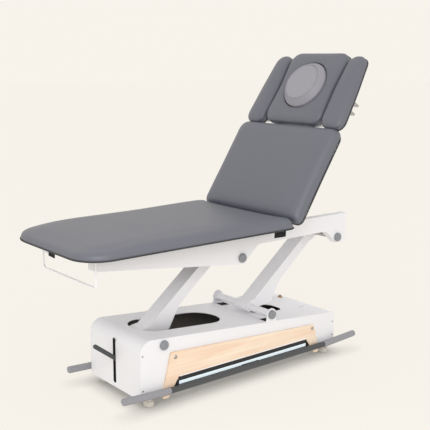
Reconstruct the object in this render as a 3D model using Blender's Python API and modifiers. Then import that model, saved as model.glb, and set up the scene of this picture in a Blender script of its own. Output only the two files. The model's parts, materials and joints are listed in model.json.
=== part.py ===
"""Physiotherapy table on a parallelogram lift, in metres, +Z up.

+X points to the head end and -Y to the side that carries the near foot bar. The origin lies on the
floor, under the middle of the table's box. The pose is the one in use: lift half up, back raised.
"""

import math

import bmesh
import bpy
from mathutils import Matrix

# Fits
SEAT = 0.0003  # gap between pieces that touch
RUN = 0.0008  # running clearance round a shaft, and beside a guided piece
LOOSE = 0.002  # play of a driving pin in its slotted fork

# Base cabinet
BASE_FOOT_X = -0.4755
BASE_LENGTH = 1.161
BASE_WIDTH = 0.404
BASE_UNDERSIDE = 0.041
BASE_TOP_FOOT = 0.3005  # height of the sloping top at the foot end
BASE_TOP_HEAD = 0.203
SIDE_PLATE = 0.005
SIDE_CORNER = 0.010
COVER_SHEET = 0.003
COVER_FOOT_RADIUS = 0.055
COVER_HEAD_RADIUS = 0.020
PAN_SHEET = 0.004
EAR_RADIUS = 0.029  # ears of the side plates round the rear pivot

# Levelling feet
FOOT_RADIUS = 0.023
FOOT_PAD = 0.019
FOOT_NECK_RADIUS = 0.015
FOOT_FLANGE_RADIUS = 0.025
FOOT_FLANGE = 0.006
FOOT_INSET_FOOT = 0.058  # from the base's foot end to the foot's axis
FOOT_INSET_HEAD = 0.048
FOOT_SIDE_INSET = 0.027

# Lift linkage: front pivot in the base, and the parallelogram above it
FRONT_PIVOT_IN = 0.1201  # from the base's foot end
FRONT_PIVOT_Z = 0.2618
PIVOT_SPACING = 0.6155
PIVOT_RISE = 0.0114
ARM_LENGTH = 0.5322
ARM_ANGLE = 35.92  # degrees above level, as photographed
ARM_WIDTH = 0.086
ARM_WALL = 0.005
ARM_EYE_RADIUS = 0.026
ARM_FLARE_AT = 0.112  # along the arm, where its underside is deepest
ARM_FLARE_DEPTH = 0.084
ARM_WAIST_AT = 0.215
ARM_WAIST_DEPTH = 0.036
ARM_FLARE_RADIUS = 0.012
ARM_WAIST_RADIUS = 0.10
ARM_UNDER_RADIUS = 0.05
ARM_HEAD_RADIUS = 0.02
ARM_TOP_LOW = 0.004  # height of the arm's upper face over the pivot line, at each end
ARM_TOP_HIGH = 0.035
ARM_UNDER_HIGH = 0.016
AXLE_RADIUS = 0.0125
CAP_RADIUS = 0.021
CAP_HEIGHT = 0.013
BUSH_WALL = 0.004
COLLAR_RADIUS = 0.0225
COLLAR_WIDTH = 0.009

# Lift actuator
LIFT_LEVER = 0.11  # from the front pivot to the driven pin
LIFT_LEVER_ANGLE = -125.0  # degrees from the arm's own line
LIFT_SWING = 32.0  # degrees of the lever to either side of upright
PIN_RADIUS = 0.007
LUG_RADIUS = 0.018
FORK_THICKNESS = 0.016
FORK_MARGIN = 0.010
LIFT_ROD_RADIUS = 0.0115
LIFT_ROD_LENGTH = 0.30
LIFT_TUBE_RADIUS = 0.021
LIFT_TUBE_LENGTH = 0.24
LIFT_TUBE_FROM_PIN = 0.135
MOTOR_RADIUS = 0.034
MOTOR_LENGTH = 0.10
MOTOR_FOOT_WIDTH = 0.05

# Openings of the base cover
ARM_SLOT_BEHIND = 0.032  # front slot, from the pivot towards the foot end
ARM_SLOT_LENGTH = 0.472
ARM_SLOT_WIDTH = 0.20
REAR_SLOT_FROM = 0.024  # from the rear pivot towards the head end
REAR_SLOT_LENGTH = 0.19
REAR_SLOT_WIDTH = 0.118
EAR_NOTCH_LENGTH = 0.050
EAR_NOTCH_WIDTH = 0.052
SLIT_LENGTH = 0.034
SLIT_WIDTH = 0.006
SLIT_FROM_HEAD = 0.105
SLIT_Y = -0.055
PEDAL_SLOT_WIDTH = 0.016
PEDAL_SLOT_LOW = 0.063
PEDAL_SLOT_HIGH = 0.262

# Wooden side panels with their light strips
PANEL_THICKNESS = 0.010
PANEL_TOP_FOOT = (0.1525, 0.223)  # from the base's foot end, and height
PANEL_TOP_HEAD = (1.0085, 0.169)
PANEL_LEG_FOOT = 0.103
PANEL_LEG_HEAD = 1.048
PANEL_LEG_WIDTH = 0.034
PANEL_BOTTOM = 0.024
PANEL_CUT_FOOT = 0.190
PANEL_CUT_HEAD = 0.957
PANEL_CUT_TOP = 0.107
PANEL_TOP_RADIUS = 0.008
PANEL_LEG_RADIUS = 0.010
PANEL_CUT_RADIUS = 0.006
LIGHT_THICKNESS = 0.008
LIGHT_SLANT = 0.020

# Foot bars
BAR_ACROSS = 0.027  # across the flats of the octagon
BAR_HEIGHT = 0.0615
BAR_CLEARANCE = 0.002
BAR_FROM = 0.132  # dark middle, from the base's foot end
BAR_LENGTH = 0.930
GRIP_FOOT_LENGTH = 0.236
GRIP_HEAD_LENGTH = 0.217
GRIP_TIP_ACROSS = 0.023
GRIP_RISE = 0.011
GRIP_ROUND = 0.003
GRIP_EDGE = 60.0  # degrees; edges sharper than this are rounded
HANGER_WIDTH = 0.10
HANGER_THICKNESS = 0.012
HANGER_REACH = 0.030  # behind the side plate
BAR_TRAVEL = 0.006

# Castor pedal and retracting castors
PEDAL_RADIUS = 0.0065
PEDAL_PIVOT_IN = 0.054
PEDAL_PIVOT_Z = 0.086
PEDAL_KNEE = (-0.036, 0.074)  # from the pivot
PEDAL_TIP = (-0.155, 0.168)
PEDAL_PIN_RADIUS = 0.006
PEDAL_PIN_LENGTH = 0.046
BRACKET_CHEEK = 0.010
BRACKET_LENGTH = 0.044
CASTOR_RADIUS = 0.024
CASTOR_WIDTH = 0.020
CASTOR_LIFT = 0.0145  # wheels clear of the floor when retracted
CASTOR_Y = 0.115
CASTOR_AXLE_RADIUS = 0.005
CASTOR_FOOT_AT = 0.255  # from the base's foot end
CASTOR_HEAD_AT = 1.000
CARRIER_BAR = 0.016
CARRIER_WIDTH = 0.030
CARRIER_OVER_WHEEL = 0.008
CHEEK_THICKNESS = 0.004
PAN_OPENING = 0.010  # room round a castor

# Control box
CONTROL_SIZE = (0.17, 0.15, 0.07)
CONTROL_FROM_HEAD = 0.27

# Upper frame, placed from the front upper pivot
FRAME_RISE = 0.1267  # from the pivot to the top of the rails
RAIL_DEPTH = 0.040
RAIL_WALL = 0.004
RAIL_FOOT = 0.7596
RAIL_END_DEPTH = 0.068
RAIL_HEAD = 0.052  # beyond the rear pivot
RAIL_HEAD_LEAN = 0.013
CHIN = 0.029  # under the pivots
NECK_DEPTH = 0.078
NECK_LENGTH = 0.080
RAIL_TOP_RADIUS = 0.006
RAIL_END_RADIUS = 0.008
RAIL_TIP_RADIUS = 0.004
CHIN_FOOT_RADIUS = 0.020
CHIN_RADIUS = 0.012
NECK_FOOT_RADIUS = 0.040
NECK_HEAD_RADIUS = 0.030
CROSS_HEIGHT = 0.032
CROSS_WIDTH = 0.040
CROSS_FOOT_IN = 0.020
CROSS_HEAD_BACK = 0.130  # from the back hinge towards the head end

# Paper roll wire under the foot end
WIRE_RADIUS = 0.0028
WIRE_OUT = 0.017  # from the rail's outer face
WIRE_DROP = 0.132
WIRE_IN = 0.001
WIRE_BEND = 0.018

# Upholstery
TABLE_WIDTH = 0.68
BOARD = 0.012
CUSHION = 0.040
CROWN = 0.004
PAD_WALL = 0.2  # upright part of a pad's edge, to its height
LEG_SHOULDER = (0.170, 0.060, 0.060)  # how far in a pad reaches its height: foot end, head end, sides
BACK_CUSHION = 0.046
BACK_SHOULDER = (0.035, 0.035, 0.035)
HEAD_SHOULDER = (0.035, 0.035, 0.035)
ARM_SHOULDER = (0.050, 0.100, 0.055)
BOARD_INSET = 0.002
DRAW_IN = 0.002  # how far the sides draw in between the corners
LEG_FOOT = 0.8793  # from the front upper pivot to the foot end of the leg cushion
LEG_FOOT_CORNER = 0.130
LEG_HIP_CORNER = 0.045

# Back section, hinged at the hip
HIP_X = 0.2402  # from the front upper pivot
HIP_DROP = 0.025  # hinge axis below the boards
BACK_ANGLE = 56.93  # degrees above level, as photographed
BACK_ANGLE_MAX = 65.0
BACK_START = 0.028
BACK_LENGTH = 0.478
BACK_CORNER = 0.050
BACK_BAR_Y = 0.120
BACK_BAR_WIDTH = 0.024
BAR_EYE_RADIUS = 0.0140
BAR_NECK = 0.045  # slimmer end of the back bars, up to the head hinge
HINGE_RADIUS = 0.0100
BACK_LEVER = 0.036
BACK_LEVER_ANGLE = -125.0
BACK_SWING = 36.0
BACK_PIN_RADIUS = 0.005
BACK_FORK_THICKNESS = 0.012
LEVER_CHEEK = 0.006
BACK_ROD_RADIUS = 0.007
BACK_ROD_LENGTH = 0.46
BACK_TUBE_RADIUS = 0.014
BACK_TUBE_LENGTH = 0.36

# Head section
HEAD_AXIS = 0.552  # from the hip hinge
HEAD_START = 0.519
HEAD_LENGTH = 0.394
HEAD_WIDTH = 0.394
HEAD_CORNER = 0.055
HEAD_BAR_Y = 0.150
HEAD_BAR_LENGTH = 0.30
FACE_HOLE_AT = 0.722
FACE_HOLE_RADIUS = 0.0905
PLUG_RADIUS = 0.1235
PLUG_PROUD = 0.014
PLUG_ROUND = 0.020
PLUG_PLAY = 0.0015
ARM_PAD_GAP = 0.005
ARM_PAD_START = 0.510
ARM_PAD_LENGTH = 0.388
ARM_PAD_OUT_LOW = 0.331
ARM_PAD_OUT_HIGH = 0.292
ARM_PAD_CORNER = 0.045
ARM_BRACKET_WIDTH = 0.026
ARM_BRACKET_LENGTH = 0.20
ARM_BRACKET_Y = 0.262
ARM_LEVER_DROP = 0.052
ARM_LEVER_WIDTH = 0.010
ARM_LEVER_AT = 0.091  # from the head hinge
ARM_LEVER_PITCH = 0.046

# Facets
ROUND = 24
ARC_STEP = 18.0  # degrees of a fillet to one facet

# Places worked out from the sizes above
SIDE_Y = BASE_WIDTH / 2
INNER_Y = SIDE_Y - SIDE_PLATE
BASE_HEAD_X = BASE_FOOT_X + BASE_LENGTH
ARM_RAD = math.radians(ARM_ANGLE)
FRONT_PIVOT = (BASE_FOOT_X + FRONT_PIVOT_IN, FRONT_PIVOT_Z)
REAR_PIVOT = (FRONT_PIVOT[0] + PIVOT_SPACING, FRONT_PIVOT_Z + PIVOT_RISE)
UPPER_PIVOT = (
    FRONT_PIVOT[0] + ARM_LENGTH * math.cos(ARM_RAD),
    FRONT_PIVOT_Z + ARM_LENGTH * math.sin(ARM_RAD),
)
PAN_TOP = BASE_UNDERSIDE + PAN_SHEET
HANGER_ROOM = HANGER_THICKNESS / 2 + BAR_TRAVEL + RUN  # over and under the bar's middle
BAR_Y = SIDE_Y + SEAT + PANEL_THICKNESS + BAR_CLEARANCE + BAR_ACROSS / 2
WIRE_Y = SIDE_Y + WIRE_OUT
BAR_MID_X = BASE_FOOT_X + BAR_FROM + BAR_LENGTH / 2
DECK = FRAME_RISE + SEAT  # underside of the boards over the front upper pivot
HIP = (HIP_X, DECK - HIP_DROP)
HALF_WIDTH = TABLE_WIDTH / 2
BOARD_LOW = HIP_DROP  # boards and cushions over a hinge axis
PAD_LOW = BOARD_LOW + BOARD + SEAT
PAD_TOP = PAD_LOW + BACK_CUSHION


def clear_scene():
    for old in list(bpy.data.objects):
        bpy.data.objects.remove(old)


def collection(name, hidden=False):
    group = bpy.data.collections.new(name)
    bpy.context.scene.collection.children.link(group)
    group.hide_render = hidden
    return group


clear_scene()
TABLE = collection("physiotherapy_table")
CUTTERS = collection("cutters", hidden=True)


def finish(name, colour, roughness, metallic=0.0):
    material = bpy.data.materials.new(name)
    material.use_nodes = True
    shader = material.node_tree.nodes["Principled BSDF"]
    shader.inputs["Base Color"].default_value = (*colour, 1.0)
    shader.inputs["Roughness"].default_value = roughness
    shader.inputs["Metallic"].default_value = metallic
    return material


WHITE = finish("white_powder_coat", (0.83, 0.81, 0.79), 0.45)
VINYL = finish("grey_vinyl", (0.20, 0.21, 0.23), 0.5)
PALE_VINYL = finish("pale_grey_vinyl", (0.42, 0.41, 0.44), 0.5)
CAP_GREY = finish("grey_plastic", (0.26, 0.27, 0.29), 0.4)
GRIP_GREY = finish("light_grey_plastic", (0.31, 0.31, 0.34), 0.5)
BAR_DARK = finish("dark_grey_bar", (0.07, 0.075, 0.08), 0.45)
BIRCH = finish("birch_plywood", (0.90, 0.66, 0.40), 0.5)
BLACK = finish("black_plastic", (0.02, 0.02, 0.022), 0.5)
STEEL = finish("bright_steel", (0.55, 0.55, 0.56), 0.35, 1.0)
RUBBER = finish("beige_rubber", (0.62, 0.58, 0.52), 0.7)
PLY = finish("plain_plywood", (0.60, 0.45, 0.28), 0.7)


def empty(name, location, turn=0.0, parent=None):
    """Frame on a joint's axis; turn lifts its +X side, in degrees."""
    frame = bpy.data.objects.new(name, None)
    TABLE.objects.link(frame)
    frame.location = location
    frame.rotation_euler = (0, -math.radians(turn), 0)
    frame.parent = parent
    return frame


def add(name, mesh, material, parent=None, at=(0, 0, 0)):
    """Put a mesh into the table as a named sub-part, smooth except at real edges."""
    obj = bpy.data.objects.new(name, mesh)
    TABLE.objects.link(obj)
    obj.parent = parent
    obj.location = at
    mesh.materials.append(material)
    mesh.shade_smooth()
    mesh.set_sharp_from_angle(angle=math.radians(35))
    return obj


def hide(obj):
    """Make an object a cutter or a joined-in shape, which is no sub-part by itself."""
    for group in list(obj.users_collection):
        group.objects.unlink(obj)
    CUTTERS.objects.link(obj)
    obj.hide_render = True
    obj.display_type = "WIRE"


def combine(obj, other, operation):
    modifier = obj.modifiers.new(operation.lower(), "BOOLEAN")
    modifier.operation = operation
    modifier.solver = "EXACT"
    modifier.object = other
    hide(other)


def cut(obj, other):
    combine(obj, other, "DIFFERENCE")


def join(obj, other):
    combine(obj, other, "UNION")


def arc(centre, radius, start, stop, step=ARC_STEP):
    """Points on a circle from start to stop, in degrees."""
    count = max(2, math.ceil(abs(stop - start) / step))
    angles = [math.radians(start + (stop - start) * k / count) for k in range(count + 1)]
    return [(centre[0] + radius * math.cos(a), centre[1] + radius * math.sin(a)) for a in angles]


def circle(centre, radius, count=ROUND):
    return arc(centre, radius, 0, 360, 360 / count)[:-1]


def rounded(corners, closed=True):
    """Outline through corners (a, b, radius), with each corner turned into an arc."""
    points = []
    count = len(corners)
    for k, (a, b, radius) in enumerate(corners):
        if radius == 0 or (not closed and k in (0, count - 1)):
            points.append((a, b))
            continue
        before = corners[k - 1]
        after = corners[(k + 1) % count]
        back = math.atan2(before[1] - b, before[0] - a)
        ahead = math.atan2(after[1] - b, after[0] - a)
        turn = (ahead - back + math.pi) % (2 * math.pi) - math.pi
        side = math.copysign(1.0, turn)
        reach = radius / math.sin(abs(turn) / 2)
        middle = back + turn / 2
        centre = (a + reach * math.cos(middle), b + reach * math.sin(middle))
        start = math.degrees(back) - 90 * side
        points += arc(centre, radius, start, start - side * (180 - abs(math.degrees(turn))))
    return points


def box_outline(a0, b0, a1, b1, radius=0.0):
    return rounded([(a0, b0, radius), (a1, b0, radius), (a1, b1, radius), (a0, b1, radius)])


LAY = {
    "x": Matrix(((0, 0, 1, 0), (1, 0, 0, 0), (0, 1, 0, 0), (0, 0, 0, 1))),
    "y": Matrix(((1, 0, 0, 0), (0, 0, -1, 0), (0, 1, 0, 0), (0, 0, 0, 1))),
    "z": Matrix.Identity(4),
}


def to_mesh(source):
    """Evaluated mesh of a curve object, welded; the curve is removed."""
    bpy.context.view_layer.update()
    graph = bpy.context.evaluated_depsgraph_get()
    mesh = bpy.data.meshes.new_from_object(source.evaluated_get(graph))
    bpy.data.objects.remove(source)
    shape = bmesh.new()
    shape.from_mesh(mesh)
    bmesh.ops.remove_doubles(shape, verts=shape.verts, dist=1e-6)
    bmesh.ops.recalc_face_normals(shape, faces=shape.faces)
    shape.to_mesh(mesh)
    shape.free()
    mesh.materials.clear()
    return mesh


def flat_mesh(outlines, thickness, normal, fill="BOTH"):
    """Plate of flat outlines, holes among them, with its middle plane at 0 on the normal axis."""
    curve = bpy.data.curves.new("outline", "CURVE")
    curve.dimensions = "2D"
    curve.fill_mode = fill
    curve.extrude = thickness / 2
    for outline in outlines:
        spline = curve.splines.new("POLY")
        spline.points.add(len(outline) - 1)
        for point, (a, b) in zip(spline.points, outline):
            point.co = (a, b, 0, 1)
        spline.use_cyclic_u = True
    source = bpy.data.objects.new("outline", curve)
    bpy.context.scene.collection.objects.link(source)
    mesh = to_mesh(source)
    mesh.transform(LAY[normal])
    return mesh


def plate(name, outlines, thickness, normal, material, parent=None, at=(0, 0, 0)):
    return add(name, flat_mesh(outlines, thickness, normal), material, parent, at)


def block(name, low, high, material, parent=None):
    """Box between two corners."""
    mesh = bpy.data.meshes.new(name)
    shape = bmesh.new()
    size = [b - a for a, b in zip(low, high)]
    middle = [(a + b) / 2 for a, b in zip(low, high)]
    bmesh.ops.create_cube(shape, size=1.0, matrix=Matrix.Diagonal((*size, 1.0)))
    shape.to_mesh(mesh)
    shape.free()
    return add(name, mesh, material, parent, middle)


AIM = {
    "x": Matrix.Rotation(math.pi / 2, 4, "Y"),
    "y": Matrix.Rotation(-math.pi / 2, 4, "X"),
    "z": Matrix.Identity(4),
}


def rod(name, radius, length, axis, material, parent=None, at=(0, 0, 0), sides=ROUND):
    """Round bar centred on its place."""
    mesh = bpy.data.meshes.new(name)
    shape = bmesh.new()
    bmesh.ops.create_cone(
        shape, cap_ends=True, segments=sides, radius1=radius, radius2=radius, depth=length, matrix=AIM[axis]
    )
    shape.to_mesh(mesh)
    shape.free()
    return add(name, mesh, material, parent, at)


def turned(name, profile, axis, material, parent=None, at=(0, 0, 0), ring=False):
    """Body of revolution; the profile (radius, height) runs down its outer side."""
    mesh = bpy.data.meshes.new(name)
    count = len(profile)
    edges = [(k, k + 1) for k in range(count - 1)]
    if ring:
        edges.append((count - 1, 0))
    mesh.from_pydata([(r, 0, h) for r, h in profile], edges, [])
    obj = add(name, mesh, material, parent, at)
    screw = obj.modifiers.new("turn", "SCREW")
    screw.steps = ROUND
    screw.render_steps = ROUND
    screw.use_merge_vertices = True
    screw.merge_threshold = 1e-5
    obj.rotation_euler = AIM[axis].to_euler()
    return obj


def tube(name, points, radii, material, parent=None, sides=2):
    """Round tube with filled ends along points, with a radius at each point."""
    curve = bpy.data.curves.new(name, "CURVE")
    curve.dimensions = "3D"
    curve.bevel_depth = 1.0
    curve.bevel_resolution = sides
    curve.use_fill_caps = True
    spline = curve.splines.new("POLY")
    spline.points.add(len(points) - 1)
    for point, place, radius in zip(spline.points, points, radii):
        point.co = (*place, 1)
        point.radius = radius
    source = bpy.data.objects.new(name, curve)
    bpy.context.scene.collection.objects.link(source)
    return add(name, to_mesh(source), material, parent)


def sloped_top(x):
    """Height of the base's sloping top over the floor."""
    return BASE_TOP_FOOT + (BASE_TOP_HEAD - BASE_TOP_FOOT) * (x - BASE_FOOT_X) / BASE_LENGTH


def side_plate(name, side):
    rear_x, rear_z = REAR_PIVOT
    left = rear_x - EAR_RADIUS
    right = rear_x + EAR_RADIUS
    crest = rear_z + EAR_RADIUS
    round_ear = EAR_RADIUS - SEAT
    outline = rounded(
        [
            (BASE_FOOT_X, BASE_UNDERSIDE, SIDE_CORNER),
            (BASE_HEAD_X, BASE_UNDERSIDE, SIDE_CORNER),
            (BASE_HEAD_X, BASE_TOP_HEAD, COVER_HEAD_RADIUS),
            (right, sloped_top(right), SIDE_CORNER),
            (right, crest, round_ear),
            (left, crest, round_ear),
            (left, sloped_top(left), SIDE_CORNER),
            (BASE_FOOT_X, BASE_TOP_FOOT, COVER_FOOT_RADIUS),
        ]
    )
    holes = [circle(pivot, AXLE_RADIUS + SEAT) for pivot in (FRONT_PIVOT, REAR_PIVOT)]
    half = HANGER_WIDTH / 2 + SEAT
    bottom = BAR_HEIGHT - HANGER_ROOM
    window = box_outline(BAR_MID_X - half, bottom, BAR_MID_X + half, BAR_HEIGHT + HANGER_ROOM)
    middle = side * (SIDE_Y - SIDE_PLATE / 2)
    return plate(name, [outline, *holes, window], SIDE_PLATE, "y", WHITE, at=(0, middle, 0))


def base_cover():
    """Bent sheet over the foot end, the sloping top and the head end."""
    path = rounded(
        [
            (BASE_FOOT_X, BASE_UNDERSIDE, 0),
            (BASE_FOOT_X, BASE_TOP_FOOT, COVER_FOOT_RADIUS),
            (BASE_HEAD_X, BASE_TOP_HEAD, COVER_HEAD_RADIUS),
            (BASE_HEAD_X, BASE_UNDERSIDE, 0),
        ],
        closed=False,
    )
    half = INNER_Y - SEAT
    count = len(path)
    verts = [(x, y, z) for y in (-half, half) for x, z in path]
    faces = [(k, k + 1, count + k + 1, count + k) for k in range(count - 1)]
    mesh = bpy.data.meshes.new("base_cover")
    mesh.from_pydata(verts, [], faces)
    cover = add("base_cover", mesh, WHITE)
    sheet = cover.modifiers.new("sheet", "SOLIDIFY")
    sheet.thickness = COVER_SHEET
    sheet.offset = -1.0
    sheet.use_even_offset = True
    slot_from = FRONT_PIVOT[0] - ARM_SLOT_BEHIND
    half_slot = ARM_SLOT_WIDTH / 2
    rear_from = REAR_PIVOT[0] + REAR_SLOT_FROM
    half_rear = REAR_SLOT_WIDTH / 2
    slit_x = BASE_HEAD_X - SLIT_FROM_HEAD
    openings = [
        box_outline(slot_from, -half_slot, slot_from + ARM_SLOT_LENGTH, half_slot, half_slot * 0.98),
        box_outline(rear_from, -half_rear, rear_from + REAR_SLOT_LENGTH, half_rear, half_rear * 0.7),
        box_outline(slit_x, SLIT_Y, slit_x + SLIT_LENGTH, SLIT_Y + SLIT_WIDTH),
    ]
    for side in (-1, 1):
        inner = side * (INNER_Y - COLLAR_WIDTH - EAR_NOTCH_WIDTH)
        outer = side * (INNER_Y - COLLAR_WIDTH)
        notch_x = REAR_PIVOT[0] - EAR_NOTCH_LENGTH / 2
        low, high = sorted((inner, outer))
        openings.append(box_outline(notch_x, low, notch_x + EAR_NOTCH_LENGTH, high, COVER_SHEET))
    tall = BASE_TOP_FOOT - BASE_UNDERSIDE
    cut(cover, plate("top_openings", openings, tall, "z", BLACK, at=(0, 0, BASE_TOP_HEAD)))
    half_pedal = PEDAL_SLOT_WIDTH / 2
    slot = box_outline(-half_pedal, PEDAL_SLOT_LOW, half_pedal, PEDAL_SLOT_HIGH, half_pedal * 0.98)
    cut(cover, plate("pedal_opening", [slot], 4 * COVER_SHEET, "x", BLACK, at=(BASE_FOOT_X, 0, 0)))
    return cover


def castor_places():
    return {"foot": BASE_FOOT_X + CASTOR_FOOT_AT, "head": BASE_FOOT_X + CASTOR_HEAD_AT}


def base_pan():
    """Floor of the cabinet, open over the castors."""
    half_y = INNER_Y - SEAT
    low = BASE_FOOT_X + COVER_SHEET + SEAT
    high = BASE_HEAD_X - COVER_SHEET - SEAT
    outlines = [box_outline(low, -half_y, high, half_y)]
    half_x = CASTOR_RADIUS + PAN_OPENING
    half_w = CASTOR_Y + CASTOR_WIDTH / 2 + CHEEK_THICKNESS + PAN_OPENING
    for x in castor_places().values():
        outlines.append(box_outline(x - half_x, -half_w, x + half_x, half_w))
    return plate("base_pan", outlines, PAN_SHEET, "z", WHITE, at=(0, 0, BASE_UNDERSIDE + PAN_SHEET / 2))


def levelling_foot(name, x, y):
    top = BASE_UNDERSIDE - SEAT
    profile = [
        (0, top),
        (FOOT_FLANGE_RADIUS, top),
        (FOOT_FLANGE_RADIUS, top - FOOT_FLANGE),
        (FOOT_NECK_RADIUS, top - FOOT_FLANGE),
        (FOOT_NECK_RADIUS, FOOT_PAD + FOOT_FLANGE / 2),
        (FOOT_RADIUS, FOOT_PAD),
        (FOOT_RADIUS, 0),
        (0, 0),
    ]
    return turned(name, profile, "z", RUBBER, at=(x, y, 0))


def wood_panel(name, side):
    x0 = BASE_FOOT_X
    outline = rounded(
        [
            (x0 + PANEL_TOP_FOOT[0], PANEL_TOP_FOOT[1], PANEL_TOP_RADIUS),
            (x0 + PANEL_LEG_FOOT, PANEL_BOTTOM, PANEL_LEG_RADIUS),
            (x0 + PANEL_LEG_FOOT + PANEL_LEG_WIDTH, PANEL_BOTTOM, PANEL_LEG_RADIUS),
            (x0 + PANEL_CUT_FOOT, PANEL_CUT_TOP, PANEL_CUT_RADIUS),
            (x0 + PANEL_CUT_HEAD, PANEL_CUT_TOP, PANEL_CUT_RADIUS),
            (x0 + PANEL_LEG_HEAD - PANEL_LEG_WIDTH, PANEL_BOTTOM, PANEL_LEG_RADIUS),
            (x0 + PANEL_LEG_HEAD, PANEL_BOTTOM, PANEL_LEG_RADIUS),
            (x0 + PANEL_TOP_HEAD[0], PANEL_TOP_HEAD[1], PANEL_TOP_RADIUS),
        ]
    )
    middle = side * (SIDE_Y + SEAT + PANEL_THICKNESS / 2)
    return plate(name, [outline], PANEL_THICKNESS, "y", BIRCH, at=(0, middle, 0))


def light_strip(name, side):
    """Channel with the light's lens, under the panel's cut-out."""
    low = BASE_FOOT_X + PANEL_CUT_FOOT + SEAT
    high = BASE_FOOT_X + PANEL_CUT_HEAD - SEAT
    top = PANEL_CUT_TOP - SEAT
    bottom = BAR_HEIGHT + HANGER_ROOM
    outline = [
        (low, bottom),
        (high, bottom),
        (high, top - LIGHT_SLANT),
        (high - LIGHT_SLANT / 2, top),
        (low + LIGHT_SLANT / 2, top),
        (low, top - LIGHT_SLANT),
    ]
    middle = side * (SIDE_Y + SEAT + LIGHT_THICKNESS / 2)
    return plate(name, [outline], LIGHT_THICKNESS, "y", BLACK, at=(0, middle, 0))


def octagon_bar(name, length, across, tip_across, rise, material, parent, at):
    """Eight-sided bar along X from its place; its far end may be slimmer and higher."""
    corner = 1 / math.cos(math.pi / 8)
    mesh = bpy.data.meshes.new(name)
    shape = bmesh.new()
    flat_up = Matrix.Rotation(math.pi / 8, 4, "Z")
    along_x = Matrix.Rotation(math.copysign(math.pi / 2, length), 4, "Y")
    bmesh.ops.create_cone(
        shape,
        cap_ends=True,
        segments=8,
        radius1=across / 2 * corner,
        radius2=tip_across / 2 * corner,
        depth=abs(length),
        matrix=Matrix.Translation((length / 2, 0, 0)) @ along_x @ flat_up,
    )
    for vert in shape.verts:
        if abs(vert.co.x - length) < abs(length) / 2:
            vert.co.z += rise
    shape.to_mesh(mesh)
    shape.free()
    return add(name, mesh, material, parent, at)


def foot_bar(word, side):
    """Bar along one side that is pressed up or down with the foot, on a hanger guided by the side plate."""
    frame = empty(f"{word}_bar_frame", (BAR_MID_X, side * BAR_Y, BAR_HEIGHT))
    half = BAR_LENGTH / 2
    octagon_bar(f"{word}_foot_bar", BAR_LENGTH, BAR_ACROSS, BAR_ACROSS, 0, BAR_DARK, frame, (-half, 0, 0))
    for end, sign, length in (("foot", -1, GRIP_FOOT_LENGTH), ("head", 1, GRIP_HEAD_LENGTH)):
        place = (sign * (half + SEAT), 0, 0)
        name = f"{word}_bar_{end}_grip"
        reach = sign * length
        grip = octagon_bar(name, reach, BAR_ACROSS, GRIP_TIP_ACROSS, GRIP_RISE, GRIP_GREY, frame, place)
        soften = grip.modifiers.new("round", "BEVEL")
        soften.width = GRIP_ROUND
        soften.segments = 1
        soften.limit_method = "ANGLE"
        soften.angle_limit = math.radians(GRIP_EDGE)
    near = BAR_Y - BAR_ACROSS / 2 - SEAT
    far = INNER_Y - HANGER_REACH
    low, high = sorted((side * (near - BAR_Y), side * (far - BAR_Y)))
    low = (-HANGER_WIDTH / 2, low, -HANGER_THICKNESS / 2)
    high = (HANGER_WIDTH / 2, high, HANGER_THICKNESS / 2)
    block(f"{word}_bar_hanger", low, high, STEEL, frame)


def axle(name, frame, length):
    """Through axle with a domed cap at each end, along Y."""
    half = length / 2 + SEAT
    end = half + CAP_HEIGHT
    side = [
        (0, end),
        (CAP_RADIUS * 0.6, end - CAP_HEIGHT * 0.1),
        (CAP_RADIUS, end - CAP_HEIGHT * 0.4),
        (CAP_RADIUS, half),
        (AXLE_RADIUS, half),
    ]
    profile = side + [(r, -h) for r, h in reversed(side)]
    return turned(name, profile, "y", CAP_GREY, frame)


def arm_outline(lever):
    """Side view of a lift arm, along its pivot line, from the lower pivot."""
    top = (ARM_TOP_HIGH - ARM_TOP_LOW) / ARM_LENGTH
    eye = ARM_EYE_RADIUS
    lug_angle = math.radians(LIFT_LEVER_ANGLE)
    lug = (LIFT_LEVER * math.cos(lug_angle), LIFT_LEVER * math.sin(lug_angle))
    head = [
        (ARM_FLARE_AT, -ARM_FLARE_DEPTH, ARM_FLARE_RADIUS),
        (ARM_WAIST_AT, -ARM_WAIST_DEPTH, ARM_WAIST_RADIUS),
        (ARM_LENGTH - 2 * eye, -ARM_UNDER_HIGH, ARM_UNDER_RADIUS),
        (ARM_LENGTH, -eye, ARM_HEAD_RADIUS),
    ]
    head = rounded([(0, -eye, 0), *head, (ARM_LENGTH + eye, -eye, 0)], closed=False)[1:-1]
    head += arc((ARM_LENGTH, 0), eye, -80, 40)
    head.append((ARM_LENGTH - eye / 2, ARM_TOP_LOW + top * (ARM_LENGTH - eye / 2)))
    head.append((1.6 * eye, ARM_TOP_LOW + top * 1.6 * eye))
    head += arc((0, 0), eye, 60, 180)
    if not lever:
        return head + arc((0, 0), eye, 200, 290)
    tip = math.degrees(lug_angle)
    return head + arc(lug, LUG_RADIUS, tip - 90 + 360, tip + 75 + 360) + [(0.25 * eye, -2.2 * eye)]


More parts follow.
